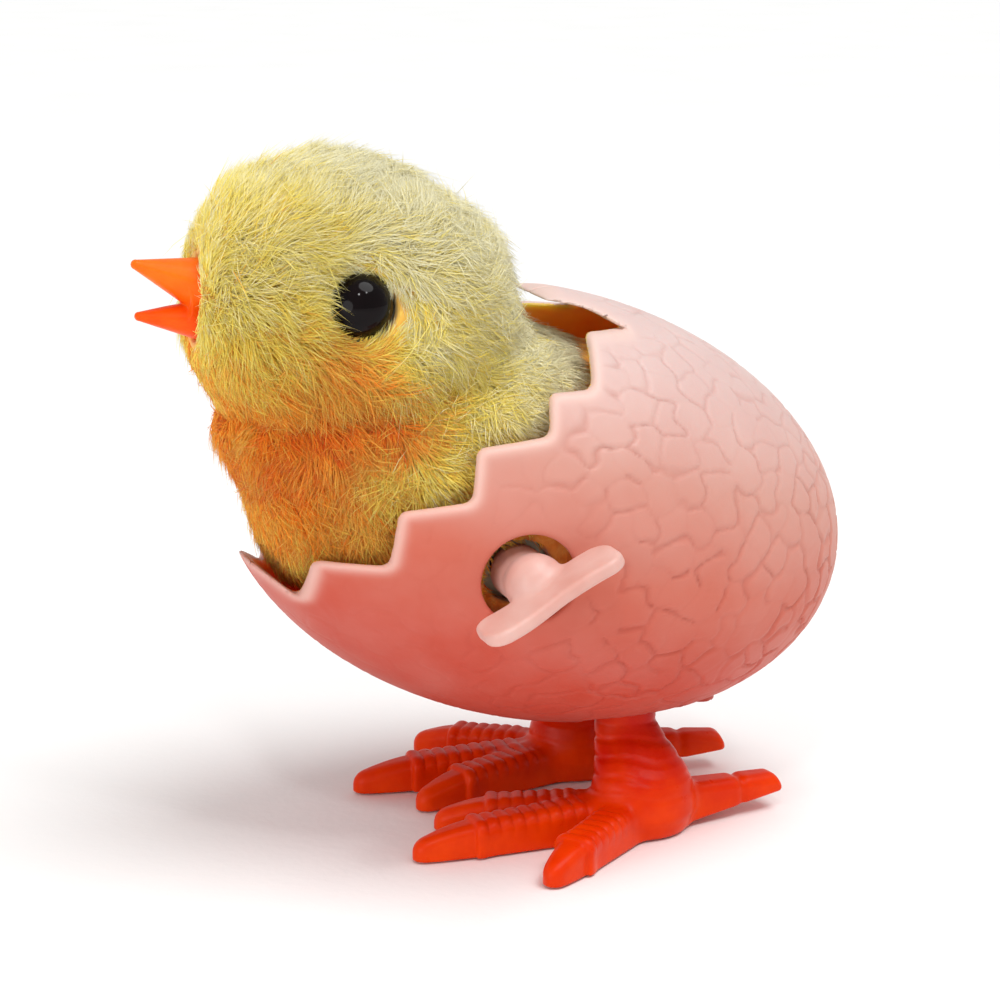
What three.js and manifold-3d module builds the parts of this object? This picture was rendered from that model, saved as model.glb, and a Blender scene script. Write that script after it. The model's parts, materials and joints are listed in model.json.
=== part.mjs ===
// Wind-up hopping chick: a plush chick sitting in an open egg shell, on two moulded feet,
// with a clockwork motor inside. Millimetres, +Z up. The chick faces -Y, and its left side,
// which carries the winding key, is +X. Lengths below are measured from the egg's centre.
import * as THREE from "three";
import { mergeVertices } from "three/addons/utils/BufferGeometryUtils.js";
import Module from "manifold-3d";

const wasm = await Module();
wasm.setup();

// Driving dimensions
const GAP = 0.3; // between two pieces that touch
const BITE = 0.1; // how far two forms of one piece run into each other
const GROUND = -33.7; // the floor, below the egg's centre
const CLEAR_OF_EGG = 30; // cutting tools reach this far from the centre
const BELOW = [-CLEAR_OF_EGG, -10]; // and these cut through the underside
const LEFTWARD = [10, CLEAR_OF_EGG]; // or through the left side
const EGG_CENTRE = [-3.4, 3.8, 33.7]; // in the part's own frame
const EGG = { radius: 22.5, front: 33.5, rear: 34.5, tilt: THREE.MathUtils.degToRad(-15.5), wall: 1.3 };
const RIM = { // the open edge, seen from the side, as (y, z)
  lip: [-38, 2.6], // the front rim runs from here down to the foot of the steps
  foot: [-26.9, -5.9],
  steps: [
    [-26.5, -1.1], [-20.3, -1.0], [-19.5, 4.5], [-12.9, 5.5], [-12.0, 10.4],
    [-4.8, 11.2], [-4.0, 14.9], [0.6, 14.9], [2.2, 19.4], [7.3, 19.2],
  ],
  arch: [ // the rear rim curves forward round the neck, and back again at the middle
    [6.3, 19.65], [5.0, 20.5], [3.6, 21.15], [1.8, 21.65], [-0.6, 22.1], [0.6, 22.5], [2.4, 22.8],
  ],
  top: 30,
};
const HEAD = { centre: [0, -19.8, 21], radii: [17, 17.5, 16.3], pile: 3, wall: 1.2 };
const CHEST = { centre: [0, -15.5, 6], radii: [16, 15.5, 17] };
const BODY = { plush: 2.6, lining: 6.1, core: 6.4, hollow: 7.4, saddle: 1.2, plinth: 6, plinthTop: 7.6 };
const BEAK = { root: -35, back: -30.5, rootRadius: 2.9, height: 23.6, start: -34.6, plushHole: 5 };
const BEAK_CUT = [[0, -45, BEAK.height], [0, -28, BEAK.height]];
const UPPER_BEAK = { base: [0, -33, 24.1], tip: [0, -41.2, 27.1], wide: 3.9, high: 3.1, end: 0.5 };
const LOWER_BEAK = { base: [0, -33, 21.4], tip: [0, -41.0, 21.9], wide: 3.3, high: 2.4, end: 0.5 };
const EYE = {
  y: -22.1, z: 24, flat: 13.5, radius: 3.2, stem: 0.8, inner: 9.4, hole: [5, 20],
  plushHole: [10, 20], washer: 1.6, washerAt: [9.7, 10.5], front: 30,
};
const NECK_SCREW = { y: -19.8, radius: 0.9, head: 1.8, from: 3.4, headTo: 4.3, seat: 4.6, to: 12 };
const NECK = { plushHole: 7, from: 0, to: 15, plinthFrom: 3.5 };

// Facets round and along the rounded forms
const OUTER = [26, 14];
const MIDDLE = [18, 10];
const INNER = [16, 8];

// Motor: axes in (y, z), all parallel to X. Module 0.5 gears.
const MODULE = 0.5;
const KEY_AXIS = [-7.6, -2.3];
const IDLER_AXIS = [2.0, 0.5];
const CRANK_AXIS = [5.0, IDLER_AXIS[1] - Math.sqrt(9 ** 2 - 3 ** 2)];
const ESCAPE_AXIS = polar(CRANK_AXIS, 7, 30);
const PALLET_AXIS = polar(ESCAPE_AXIS, 7, 60);
const LEG_AXIS = [5.0, -15.5];
const CASE = { half: 7, wall: 1, lug: 2, through: 9, reach: [9.6, 2.2, 5.6, 3.0, 8.6] };
const CASE_SCREW = { head: 1.3, high: 0.8, end: -6.6 };
const CASE_SCREWS = [[-3.0, -13.0], [-4.4, 9.0], [17.9, -3.2]];
const CORE_SCREWS = [[-19.6, -1.5], [20.5, -9.0]];
const CORE_SCREW = {
  boss: 2.6, bossReach: 12, head: 1.6, headAt: [-5.8, -4.8], shank: 0.8, end: 5, seat: 1.9, seatTo: -4.5,
};
const AXLE = 0.6;
const AXLE_END = 6.8;
const ARBOR = 1.5;
const ARBOR_STUB = 1; // its thinner right-hand end
const ARBOR_START = -7.2;
const ARBOR_STEP = -5.7;
const ARBOR_END = 21;
const SPRING = { from: -5.6, to: -1.6, inner: 2.1, outer: 7.3, turns: 4.5, facets: 16, thick: 0.35 };
const RATCHET = { from: -1.2, to: -0.2, teeth: 12, tip: 4.0, root: 3.2 };
const CLICK = { pivot: [7.0, -20], tip: [3.9, 23], pivotRadius: 0.8, tipRadius: 0.25, pin: 0.5, end: 1.1 };
const MAIN = { from: 0.1, to: 1.3, teeth: 32 };
const IDLER = { pinion: 8, wheel: 28, from: 0, step: 1.7, to: 2.7 };
const CRANK_GEAR = { pinion: 8, wheel: 20, from: 1.6, step: 3.0, to: 3.9 };
const ESCAPE = { pinion: 8, teeth: 12, from: 2.9, step: 4.2, to: 4.9, tip: 4.4, root: 3.2 };
const PALLET = {
  from: 5.15, to: 5.65, pinFrom: 4.3, pin: 0.25, pinBoss: 0.5, reach: 4.77, spread: 22.5, hub: 1.4,
};
const CRANK = { from: 7.3, to: 8.3, radius: 2.3, throw: 1.2, pin: 0.6, pinTo: 10.3 };
const KEY = {
  hub: 2.7, from: 16.8, to: 23.6, dome: 1.62, wingFrom: 24, wingTo: 29.8, span: 15.4, corner: 2.6,
  thick: 1.4, angle: 27.6,
};
const KEY_HOLE = 4.6;
const PLUSH_KEY_HOLE = 3.4;

// Legs and feet
const LEG = { from: 8.6, to: 10.6, window: [2.0, 2.4], head: 3.4, hip: 3.4, pivot: 1.0 };
const LEG_CLIP = { radius: 1.9, hole: 1.3, thick: 0.7 };
const LEG_PIN_END = 11.8;
const ANKLE = [9.6, 9.0];
const SHANK = [ // oval sections from the hip down, with their radii in X and Y
  { x: 6.6, y: 8.2, z: -18.1, wide: 2.4, deep: 3.1 },
  { x: 6.6, y: 8.3, z: -22.5, wide: 2.4, deep: 3.2 },
  { x: 9.6, y: 9.0, z: -28, wide: 3.8, deep: 4.9 },
];
const HIP_LINK = { x: [7.4, 10.6], y: [5.6, 10], z: [-18.2, -15.5] };
const PALM = { rise: 3, radii: [4.6, 5.6, 5.4] };
const TOES = { // tips: x, y, height above the floor
  middle: [10.9, -16.5, 1.1], outer: [22.3, -6.0, 1.1], inner: [2.9, -11.7, 1.1], back: [7.1, 25.8, 2.4],
};
const TOE = { height: 1.9, base: 2.5, knuckle: 1.9, claw: 1.5, tip: 0.6, clawPart: 0.24 };
const SHELL_OPENING = { x: 9.5, from: 3.2, to: 13.8 };
const CORE_OPENING = { x: 12.2, from: -15, to: 15, top: -8 };
const SHELL_BOSS = { y: 19.6, radius: 1.5, bottom: -23.5, root: -15, core: 2.4 };
const SHELL_SCREW = { head: 0.9, from: -23.6, to: -22.6, seat: -22.3, shank: 0.5, top: -13.5 };

const material = (color, roughness, metalness = 0) =>
  new THREE.MeshStandardMaterial({ color, roughness, metalness });
const SHELL_PINK = material("#e2a59b", 0.45);
const KEY_PINK = material("#f2cfc5", 0.4);
const PLUSH_YELLOW = material("#e8d67e", 0.95);
const FOOT_ORANGE = material("#e2420d", 0.4);
const BEAK_ORANGE = material("#ff8420", 0.4);
const EYE_BLACK = material("#0b0a0c", 0.1);
const CORE_CREAM = material("#e9e0c4", 0.55);
const CASE_WHITE = material("#dfe2e4", 0.5);
const GEAR_WHITE = material("#f1efe8", 0.45);
const GEAR_RED = material("#c23a31", 0.45);
const STEEL = material("#a9adb1", 0.3, 1);
const SPRING_STEEL = material("#6f7f92", 0.35, 1);
const BRASS = material("#c9a24b", 0.3, 1);

// Geometry helpers
function polar([y, z], radius, degrees) {
  const angle = THREE.MathUtils.degToRad(degrees);
  return [y + radius * Math.cos(angle), z + radius * Math.sin(angle)];
}

function solid(geometry) {
  geometry.deleteAttribute("normal");
  geometry.deleteAttribute("uv");
  const merged = mergeVertices(geometry, 1e-4);
  return new wasm.Manifold(new wasm.Mesh({
    numProp: 3,
    vertProperties: new Float32Array(merged.attributes.position.array),
    triVerts: new Uint32Array(merged.index.array),
  }));
}

const join = (...solids) => solids.reduce((whole, piece) => whole.add(piece));
const cut = (whole, ...tools) => tools.reduce((rest, tool) => rest.subtract(tool), whole);

// A shape drawn in (y, z), extruded along X
const ALONG_X = new THREE.Matrix4().makeBasis(
  new THREE.Vector3(0, 1, 0), new THREE.Vector3(0, 0, 1), new THREE.Vector3(1, 0, 0));

function prism(shape, from, to, curveSegments = 6) {
  const options = { depth: to - from, bevelEnabled: false, curveSegments };
  return solid(new THREE.ExtrudeGeometry(shape, options).applyMatrix4(ALONG_X).translate(from, 0, 0));
}

function polygon(points) {
  return new THREE.Shape(points.map(([y, z]) => new THREE.Vector2(y, z)));
}

function rod([y, z], radius, from, to, segments = 10) {
  const geometry = new THREE.CylinderGeometry(radius, radius, to - from, segments);
  return solid(geometry.rotateZ(-Math.PI / 2).translate((from + to) / 2, y, z));
}

function post([x, y], radius, from, to, segments = 12) {
  const geometry = new THREE.CylinderGeometry(radius, radius, to - from, segments);
  return solid(geometry.rotateX(Math.PI / 2).translate(x, y, (from + to) / 2));
}

function block([x0, x1], [y0, y1], [z0, z1]) {
  const geometry = new THREE.BoxGeometry(x1 - x0, y1 - y0, z1 - z0);
  return solid(geometry.translate((x0 + x1) / 2, (y0 + y1) / 2, (z0 + z1) / 2));
}

function ellipsoid([x, y, z], radii, around = 20, down = 12) {
  const geometry = new THREE.SphereGeometry(1, around, down);
  return solid(geometry.rotateX(Math.PI / 2).scale(...radii).translate(x, y, z));
}

// A cone from one point to another, with an oval section
function taper(from, to, fromRadius, toRadius, flatten = 1, segments = 12) {
  const start = new THREE.Vector3(...from);
  const run = new THREE.Vector3(...to).sub(start);
  const geometry = new THREE.CylinderGeometry(toRadius, fromRadius, run.length(), segments);
  geometry.translate(0, run.length() / 2, 0).scale(1, 1, flatten);
  const turn = new THREE.Quaternion().setFromUnitVectors(new THREE.Vector3(0, 1, 0), run.normalize());
  return solid(geometry.applyQuaternion(turn).translate(start.x, start.y, start.z));
}

// The outline of a belt round circles [y, z, radius], listed counterclockwise
function belt(circles) {
  const shape = new THREE.Shape();
  const tangents = circles.map(([y, z, r], i) => {
    const [y2, z2, r2] = circles[(i + 1) % circles.length];
    const along = Math.atan2(z2 - z, y2 - y);
    return along - Math.acos((r - r2) / Math.hypot(y2 - y, z2 - z));
  });
  circles.forEach(([y, z, r], i) => {
    const from = tangents[(i + circles.length - 1) % circles.length];
    shape.absarc(y, z, r, from, tangents[i], false);
  });
  return shape;
}

// Spur gear outline with straight flanks and generous backlash
function gearOutline([y, z], teeth, toothAt) {
  const pitch = (MODULE * teeth) / 2;
  const flanks = [[pitch - 0.6, 0.42], [pitch + 0.4, 0.14]];
  const points = [];
  for (let i = 0; i < teeth; i++) {
    const middle = toothAt + (360 * i) / teeth;
    const [[rootRadius, rootHalf], [tipRadius, tipHalf]] = flanks;
    const root = THREE.MathUtils.radToDeg(rootHalf / rootRadius);
    const tip = THREE.MathUtils.radToDeg(tipHalf / tipRadius);
    points.push(polar([y, z], rootRadius, middle - root), polar([y, z], tipRadius, middle - tip));
    points.push(polar([y, z], tipRadius, middle + tip), polar([y, z], rootRadius, middle + root));
  }
  return polygon(points);
}

function bearing(from, to) {
  return THREE.MathUtils.radToDeg(Math.atan2(to[1] - from[1], to[0] - from[0]));
}

// Egg: two half ellipses meeting at the widest ring, tipped so that the open end is raised
function egg(inset, around = INNER[0], along = INNER[1]) {
  const profile = [];
  for (let i = 0; i <= along; i++) {
    const angle = Math.PI * (i / along - 0.5);
    const length = (i * 2 < along ? EGG.front : EGG.rear) - inset;
    const onAxis = i === 0 || i === along;
    const radius = onAxis ? 0 : (EGG.radius - inset) * Math.cos(angle);
    profile.push(new THREE.Vector2(radius, length * Math.sin(angle)));
  }
  return solid(new THREE.LatheGeometry(profile, around).rotateX(EGG.tilt));
}

// Everything above the stepped rim, raised by a clearance where asked
function aboveRim(clearance = 0) {
  const { lip, foot, steps, arch, top } = RIM;
  const points = [
    [lip[0], lip[1] + 3 * clearance], [foot[0] - clearance, foot[1] + 3 * clearance],
    ...[...steps, ...arch].map(([y, z]) => [y - clearance, z + clearance]),
  ];
  points.push([points[points.length - 1][0], top], [lip[0], top]);
  return prism(polygon(points), -CLEAR_OF_EGG, CLEAR_OF_EGG);
}

const half = (side, reach = 60) =>
  block(side > 0 ? [GAP / 2, reach] : [-reach, -GAP / 2], [-reach, reach], [-reach, reach]);
const head = (inset, facets = INNER) =>
  ellipsoid(HEAD.centre, HEAD.radii.map((r) => r - inset), ...facets);

// The toy as a list of named pieces
const toy = new THREE.Group();
toy.position.set(...EGG_CENTRE);

function add(name, piece, look) {
  const { vertProperties, triVerts } = piece.getMesh();
  const geometry = new THREE.BufferGeometry();
  geometry.setAttribute("position", new THREE.BufferAttribute(new Float32Array(vertProperties), 3));
  geometry.setIndex(new THREE.BufferAttribute(new Uint32Array(triVerts), 1));
  geometry.computeVertexNormals();
  const mesh = new THREE.Mesh(geometry, look);
  mesh.name = name;
  toy.add(mesh);
}

const SIDES = [["left", 1], ["right", -1]];
const mirrored = (sign, [from, to]) => (sign > 0 ? [from, to] : [-to, -from]);

function addEggShell() {
  const at = [0, SHELL_BOSS.y];
  const { head: headRadius, shank } = SHELL_SCREW;
  const hollow = egg(EGG.wall, ...OUTER);
  const boss = cut(post(at, SHELL_BOSS.radius, SHELL_BOSS.bottom, SHELL_BOSS.root), hollow);
  const { x, from, to } = SHELL_OPENING;
  const shell = cut(join(cut(egg(0, ...OUTER), hollow), boss), aboveRim(),
    block([-x, x], [from, to], BELOW), rod(KEY_AXIS, KEY_HOLE, ...LEFTWARD, 24),
    post(at, shank + GAP, ...BELOW), post(at, headRadius + GAP, BELOW[0], SHELL_SCREW.seat));
  for (const [side, sign] of SIDES) add(`egg_shell_${side}`, shell.intersect(half(sign)), SHELL_PINK);
  add("shell_screw", join(post(at, headRadius, SHELL_SCREW.from, SHELL_SCREW.to),
    post(at, shank, SHELL_SCREW.to - BITE, SHELL_SCREW.top, 12)), STEEL);
}

function addPlush() {
  const [, headY] = HEAD.centre;
  const eyeHoles = SIDES.map(([, sign]) =>
    rod([EYE.y, EYE.z], EYE.radius + GAP, ...mirrored(sign, EYE.plushHole)));
  const beakHole = taper(...BEAK_CUT, BEAK.plushHole, BEAK.plushHole);
  add("plush_head", cut(head(0, MIDDLE), head(HEAD.pile),
    post([0, headY], NECK.plushHole, NECK.from, NECK.to), ...eyeHoles, beakHole), PLUSH_YELLOW);
  const room = join(egg(EGG.wall + 2 * GAP, ...MIDDLE), aboveRim(2 * GAP));
  const { x, from, to, top } = CORE_OPENING;
  const body = join(egg(BODY.plush, ...MIDDLE), ellipsoid(CHEST.centre, CHEST.radii)).intersect(room);
  add("plush_body", cut(body, egg(BODY.lining), head(-GAP, MIDDLE),
    block([-x, x], [from, to], [-CLEAR_OF_EGG, top]), rod(KEY_AXIS, PLUSH_KEY_HOLE, 8, 24),
    post([0, SHELL_BOSS.y], SHELL_SCREW.shank + GAP, -CLEAR_OF_EGG, -8)), PLUSH_YELLOW);
}

function addHead() {
  const { y, z, flat, radius, stem, inner, washer } = EYE;
  const wall = HEAD.pile + GAP;
  const beakHole = taper(...BEAK_CUT, BEAK.rootRadius + GAP, BEAK.rootRadius + GAP);
  let core = cut(head(wall), head(wall + HEAD.wall), beakHole,
    post([0, NECK_SCREW.y], NECK_SCREW.radius + GAP, NECK.from, NECK.to));
  for (const [side, sign] of SIDES) {
    const hole = rod([y, z], stem + GAP, ...mirrored(sign, EYE.hole), 12);
    const dome = ellipsoid([sign * flat, y, z], [radius, radius, radius], 16, 8);
    const cap = dome.intersect(block(mirrored(sign, [flat, EYE.front]), [-40, 0], [0, 40]));
    add(`eye_${side}`, join(cap, rod([y, z], stem, ...mirrored(sign, [inner, flat + BITE]), 12)), EYE_BLACK);
    add(`eye_washer_${side}`, cut(rod([y, z], washer, ...mirrored(sign, EYE.washerAt)), hole), STEEL);
    core = cut(core, hole);
  }
  add("head_core", core, CORE_CREAM);
}

function addBeak() {
  const mandible = ({ base, tip, wide, high, end }) => {
    const root = [base[0], BEAK.start, base[2]];
    return taper(root, tip, wide, end, high / wide, 14);
  };
  const root = taper([0, BEAK.root - 1, BEAK.height], [0, BEAK.back, BEAK.height],
    BEAK.rootRadius, BEAK.rootRadius, 1, 16);
  add("beak", join(mandible(UPPER_BEAK), mandible(LOWER_BEAK), root), BEAK_ORANGE);
}

function addBodyCore() {
  const [, headY] = HEAD.centre;
  const { plinth, plinthTop, saddle, core, hollow } = BODY;
  const { x, from, to, top } = CORE_OPENING;
  const dish = cut(egg(core).intersect(head(-GAP - saddle, MIDDLE)), head(-GAP, MIDDLE));
  const neck = post([0, headY], plinth, NECK.plinthFrom, plinthTop).intersect(egg(core));
  const { boss, bossReach, head: headRadius, headAt, shank, end, seat, seatTo } = CORE_SCREW;
  const bosses = CORE_SCREWS.map((at) => rod(at, boss, -bossReach, bossReach).intersect(egg(core)));
  const footBoss = post([0, SHELL_BOSS.y], SHELL_BOSS.core, -20, -10).intersect(egg(core));
  const wholeCore = cut(
    join(cut(egg(core), egg(hollow), head(-GAP, MIDDLE)), dish, neck, footBoss, ...bosses),
    caseBlock(GAP), block([-x + 0.6, x - 0.6], [from, to], [-CLEAR_OF_EGG, top]),
    rod(KEY_AXIS, ARBOR + GAP, 5, 20), post([0, headY], NECK_SCREW.radius + GAP, NECK.from, NECK.to),
    post([0, headY], NECK_SCREW.head + GAP, NECK.from, NECK_SCREW.seat),
    post([0, SHELL_BOSS.y], SHELL_SCREW.shank + GAP, -CLEAR_OF_EGG, SHELL_SCREW.top + GAP),
    ...CORE_SCREWS.map((at) => rod(at, shank + GAP, -20, 20, 12)),
    ...CORE_SCREWS.map((at) => rod(at, seat, -20, seatTo)));
  for (const [side, sign] of SIDES) {
    add(`body_core_${side}`, wholeCore.intersect(half(sign)), CORE_CREAM);
  }
  ["front", "rear"].forEach((place, i) => {
    const stem = rod(CORE_SCREWS[i], shank, headAt[1] - BITE, end, 12);
    add(`core_screw_${place}`, join(rod(CORE_SCREWS[i], headRadius, ...headAt), stem), STEEL);
  });
  add("neck_screw", join(post([0, headY], NECK_SCREW.head, NECK_SCREW.from, NECK_SCREW.headTo),
    post([0, headY], NECK_SCREW.radius, NECK_SCREW.headTo - BITE, NECK_SCREW.to, 12)), STEEL);
}

// The motor case as a block, grown by an allowance
function caseBlock(grow = 0) {
  const x = CASE.half + grow;
  const lugs = CASE_SCREWS.map((at) => rod(at, CASE.lug + grow, -x, x));
  return join(prism(caseOutline(-grow), -x, x, 4), ...lugs);
}

function caseOutline(inset) {
  const axes = [KEY_AXIS, LEG_AXIS, ESCAPE_AXIS, PALLET_AXIS, IDLER_AXIS];
  return belt(axes.map(([y, z], i) => [y, z, CASE.reach[i] - inset]));
}

function addMotorCase() {
  const inside = CASE.half - CASE.wall;
  const lugs = CASE_SCREWS.map((at) => rod(at, CASE.lug, -CASE.half, CASE.half));
  const through = (at, radius, segments) => rod(at, radius + GAP, -CASE.through, CASE.through, segments);
  const hollow = cut(prism(caseOutline(CASE.wall), -inside, inside, 4), ...lugs);
  const bearings = [IDLER_AXIS, CRANK_AXIS, ESCAPE_AXIS, PALLET_AXIS];
  const housing = cut(caseBlock(), hollow,
    ...bearings.map((at) => through(at, AXLE, 8)), through(LEG_AXIS, LEG.pivot, 16),
    rod(KEY_AXIS, ARBOR + GAP, 0, CASE.through, 16), rod(KEY_AXIS, ARBOR_STUB + GAP, -CASE.through, 0, 16),
    ...CASE_SCREWS.map((at) => through(at, AXLE, 8)));
  for (const [side, sign] of SIDES) add(`motor_case_${side}`, housing.intersect(half(sign)), CASE_WHITE);
  ["lower", "upper", "rear"].forEach((place, i) => {
    const seat = CASE.half + GAP;
    const screw = join(rod(CASE_SCREWS[i], CASE_SCREW.head, seat, seat + CASE_SCREW.high),
      rod(CASE_SCREWS[i], AXLE, CASE_SCREW.end, seat + BITE, 12));
    add(`case_screw_${place}`, screw, STEEL);
  });
}

function addWinding() {
  const { from, to, inner, outer, turns, facets, thick } = SPRING;
  const steps = turns * facets;
  const edge = (offset) => Array.from({ length: steps + 1 }, (_, i) =>
    polar(KEY_AXIS, inner + ((outer - inner) * i) / steps + offset, (360 * turns * i) / steps));
  add("mainspring", prism(polygon([...edge(thick), ...edge(0).reverse()]), from, to), SPRING_STEEL);
  add("winding_arbor", join(rod(KEY_AXIS, ARBOR_STUB, ARBOR_START, ARBOR_STEP + BITE, 16),
    rod(KEY_AXIS, ARBOR, ARBOR_STEP, ARBOR_END, 16)), STEEL);
  const sawTeeth = Array.from({ length: RATCHET.teeth }, (_, i) => {
    const angle = (360 * i) / RATCHET.teeth;
    return [polar(KEY_AXIS, RATCHET.root, angle), polar(KEY_AXIS, RATCHET.tip, angle)];
  }).flat();
  add("ratchet_wheel", cut(prism(polygon(sawTeeth), RATCHET.from, RATCHET.to),
    rod(KEY_AXIS, ARBOR + GAP, -3, 1, 16)), BRASS);
  const pivot = polar(KEY_AXIS, ...CLICK.pivot);
  const lever = belt([[...pivot, CLICK.pivotRadius], [...polar(KEY_AXIS, ...CLICK.tip), CLICK.tipRadius]]);
  add("click_pawl", join(prism(lever, RATCHET.from, RATCHET.to),
    rod(pivot, CLICK.pin, RATCHET.to - BITE, CLICK.end, 12)), STEEL);
  add("main_gear", cut(prism(gearOutline(KEY_AXIS, MAIN.teeth, bearing(KEY_AXIS, IDLER_AXIS)),
    MAIN.from, MAIN.to), rod(KEY_AXIS, ARBOR + GAP, -1, 3, 16), rod(pivot, CLICK.pin + GAP, -1, 3, 12)),
  GEAR_WHITE);
  addKey();
}

function addKey() {
  const { hub, from, to, dome, wingFrom, wingTo, span, corner, thick, angle } = KEY;
  const wing = new THREE.Shape();
  const reach = span / 2;
  wing.absarc(reach - corner, wingTo - corner, corner, 0, Math.PI / 2, false);
  wing.absarc(corner - reach, wingTo - corner, corner, Math.PI / 2, Math.PI, false);
  wing.absarc(corner - reach, wingFrom + corner, corner, Math.PI, 1.5 * Math.PI, false);
  wing.absarc(reach - corner, wingFrom + corner, corner, 1.5 * Math.PI, 2 * Math.PI, false);
  const tilt = THREE.MathUtils.degToRad(angle);
  const across = new THREE.Vector3(0, Math.cos(tilt), Math.sin(tilt));
  const outward = new THREE.Vector3(1, 0, 0);
  const geometry = new THREE.ExtrudeGeometry(wing, { depth: thick, bevelEnabled: false, curveSegments: 4 });
  geometry.translate(0, 0, -thick / 2).applyMatrix4(
    new THREE.Matrix4().makeBasis(across, outward, across.clone().cross(outward)));
  const wings = solid(geometry.translate(0, ...KEY_AXIS));
  const tip = ellipsoid([to, ...KEY_AXIS], [dome, hub, hub], 20, 8);
  add("winding_key", cut(join(rod(KEY_AXIS, hub, from, to, 20), tip, wings),
    rod(KEY_AXIS, ARBOR + GAP, from - 1, ARBOR_END + GAP, 16)), KEY_PINK);
}

function addTrain() {
  const toKey = bearing(IDLER_AXIS, KEY_AXIS);
  const toCrank = bearing(IDLER_AXIS, CRANK_AXIS);
  const halfTooth = (teeth) => 180 / teeth;
  const axle = (at) => rod(at, AXLE + GAP, -1, 6, 12);
  add("idler_gear", cut(join(
    prism(gearOutline(IDLER_AXIS, IDLER.pinion, toKey + halfTooth(IDLER.pinion)), IDLER.from,
      IDLER.step + BITE),
    prism(gearOutline(IDLER_AXIS, IDLER.wheel, toCrank), IDLER.step, IDLER.to)), axle(IDLER_AXIS)), GEAR_RED);
  add("idler_axle", rod(IDLER_AXIS, AXLE, -AXLE_END, AXLE_END, 12), STEEL);
  const { pinion, wheel, from, step, to } = CRANK_GEAR;
  add("crank_gear", cut(join(
    prism(gearOutline(CRANK_AXIS, pinion, toCrank + 180 + halfTooth(pinion)), from, step + BITE),
    prism(gearOutline(CRANK_AXIS, wheel, bearing(CRANK_AXIS, ESCAPE_AXIS)), step, to)), axle(CRANK_AXIS)),
  GEAR_WHITE);
  add("crankshaft", rod(CRANK_AXIS, AXLE, GAP * 2 - CRANK.to, CRANK.to - GAP * 2, 12), STEEL);
  const toCrankBack = bearing(ESCAPE_AXIS, CRANK_AXIS);
  const star = Array.from({ length: ESCAPE.teeth }, (_, i) => {
    const angle = bearing(ESCAPE_AXIS, PALLET_AXIS) + (360 * i) / ESCAPE.teeth;
    return [[ESCAPE.root, -7], [ESCAPE.tip, -1.2], [ESCAPE.tip, 1.2], [ESCAPE.root, 7]].map(
      ([radius, turn]) => polar(ESCAPE_AXIS, radius, angle + turn));
  }).flat();
  add("escape_wheel", cut(join(
    prism(gearOutline(ESCAPE_AXIS, ESCAPE.pinion, toCrankBack + halfTooth(ESCAPE.pinion)),
      ESCAPE.from, ESCAPE.step + BITE),
    prism(polygon(star), ESCAPE.step, ESCAPE.to)), axle(ESCAPE_AXIS)), GEAR_RED);
  add("escape_axle", rod(ESCAPE_AXIS, AXLE, -AXLE_END, AXLE_END, 12), STEEL);
}

function addPallet() {
  const { from, to, pinFrom, pin, pinBoss, reach, spread, hub } = PALLET;
  const back = bearing(ESCAPE_AXIS, PALLET_AXIS);
  const pins = [-spread, spread].map((turn) => polar(ESCAPE_AXIS, reach, back + turn));
  const arms = pins.map((at) => prism(belt([[...PALLET_AXIS, hub], [...at, pinBoss]]), from, to));
  add("pallet", cut(join(...arms, ...pins.map((at) => rod(at, pin, pinFrom, from + BITE))),
    rod(PALLET_AXIS, AXLE + GAP, 4, 6.5, 12)), BRASS);
  add("pallet_axle", rod(PALLET_AXIS, AXLE, -AXLE_END, AXLE_END, 12), STEEL);
}

// One leg with its foot, for the left side; the right one mirrors it
function legSolid() {
  const { from, to, window, head: headRadius, hip } = LEG;
  const plate = prism(belt([[...CRANK_AXIS, headRadius], [...LEG_AXIS, hip]]), from, to);
  const [openY, openZ] = window;
  const slot = block([from - 1, to + 1], [CRANK_AXIS[0] - openY, CRANK_AXIS[0] + openY],
    [CRANK_AXIS[1] - openZ, CRANK_AXIS[1] + openZ]);
  const section = ({ x, y, z, wide, deep }) =>
    post([0, 0], 1, z - BITE, z + BITE, 16).scale([wide, deep, 1]).translate([x, y, 0]);
  const shank = join(...[0, 1].map((i) =>
    wasm.Manifold.hull([section(SHANK[i]), section(SHANK[i + 1])])));
  const link = block(HIP_LINK.x, HIP_LINK.y, HIP_LINK.z);
  const ankle = [...ANKLE, GROUND + TOE.height];
  const palm = ellipsoid([...ANKLE, GROUND + PALM.rise], PALM.radii, 12, 8);
  const toes = Object.values(TOES).map(([x, y, rise]) => {
    const tip = [x, y, GROUND + rise];
    const along = (part) => ankle.map((value, i) => tip[i] + (value - tip[i]) * part);
    const toe = taper(ankle, along(TOE.clawPart), TOE.base, TOE.knuckle, 1, 8);
    return join(toe, taper(along(TOE.clawPart + 0.04), tip, TOE.claw, TOE.tip, 1, 8));
  });
  const floor = block([-5, 40], [-40, 50], [GROUND - 10, GROUND]);
  return cut(join(cut(plate, slot), link, shank, palm, ...toes), floor,
    rod(LEG_AXIS, LEG.pivot + GAP, HIP_LINK.x[0] - 1, to + 1, 16));
}

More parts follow.
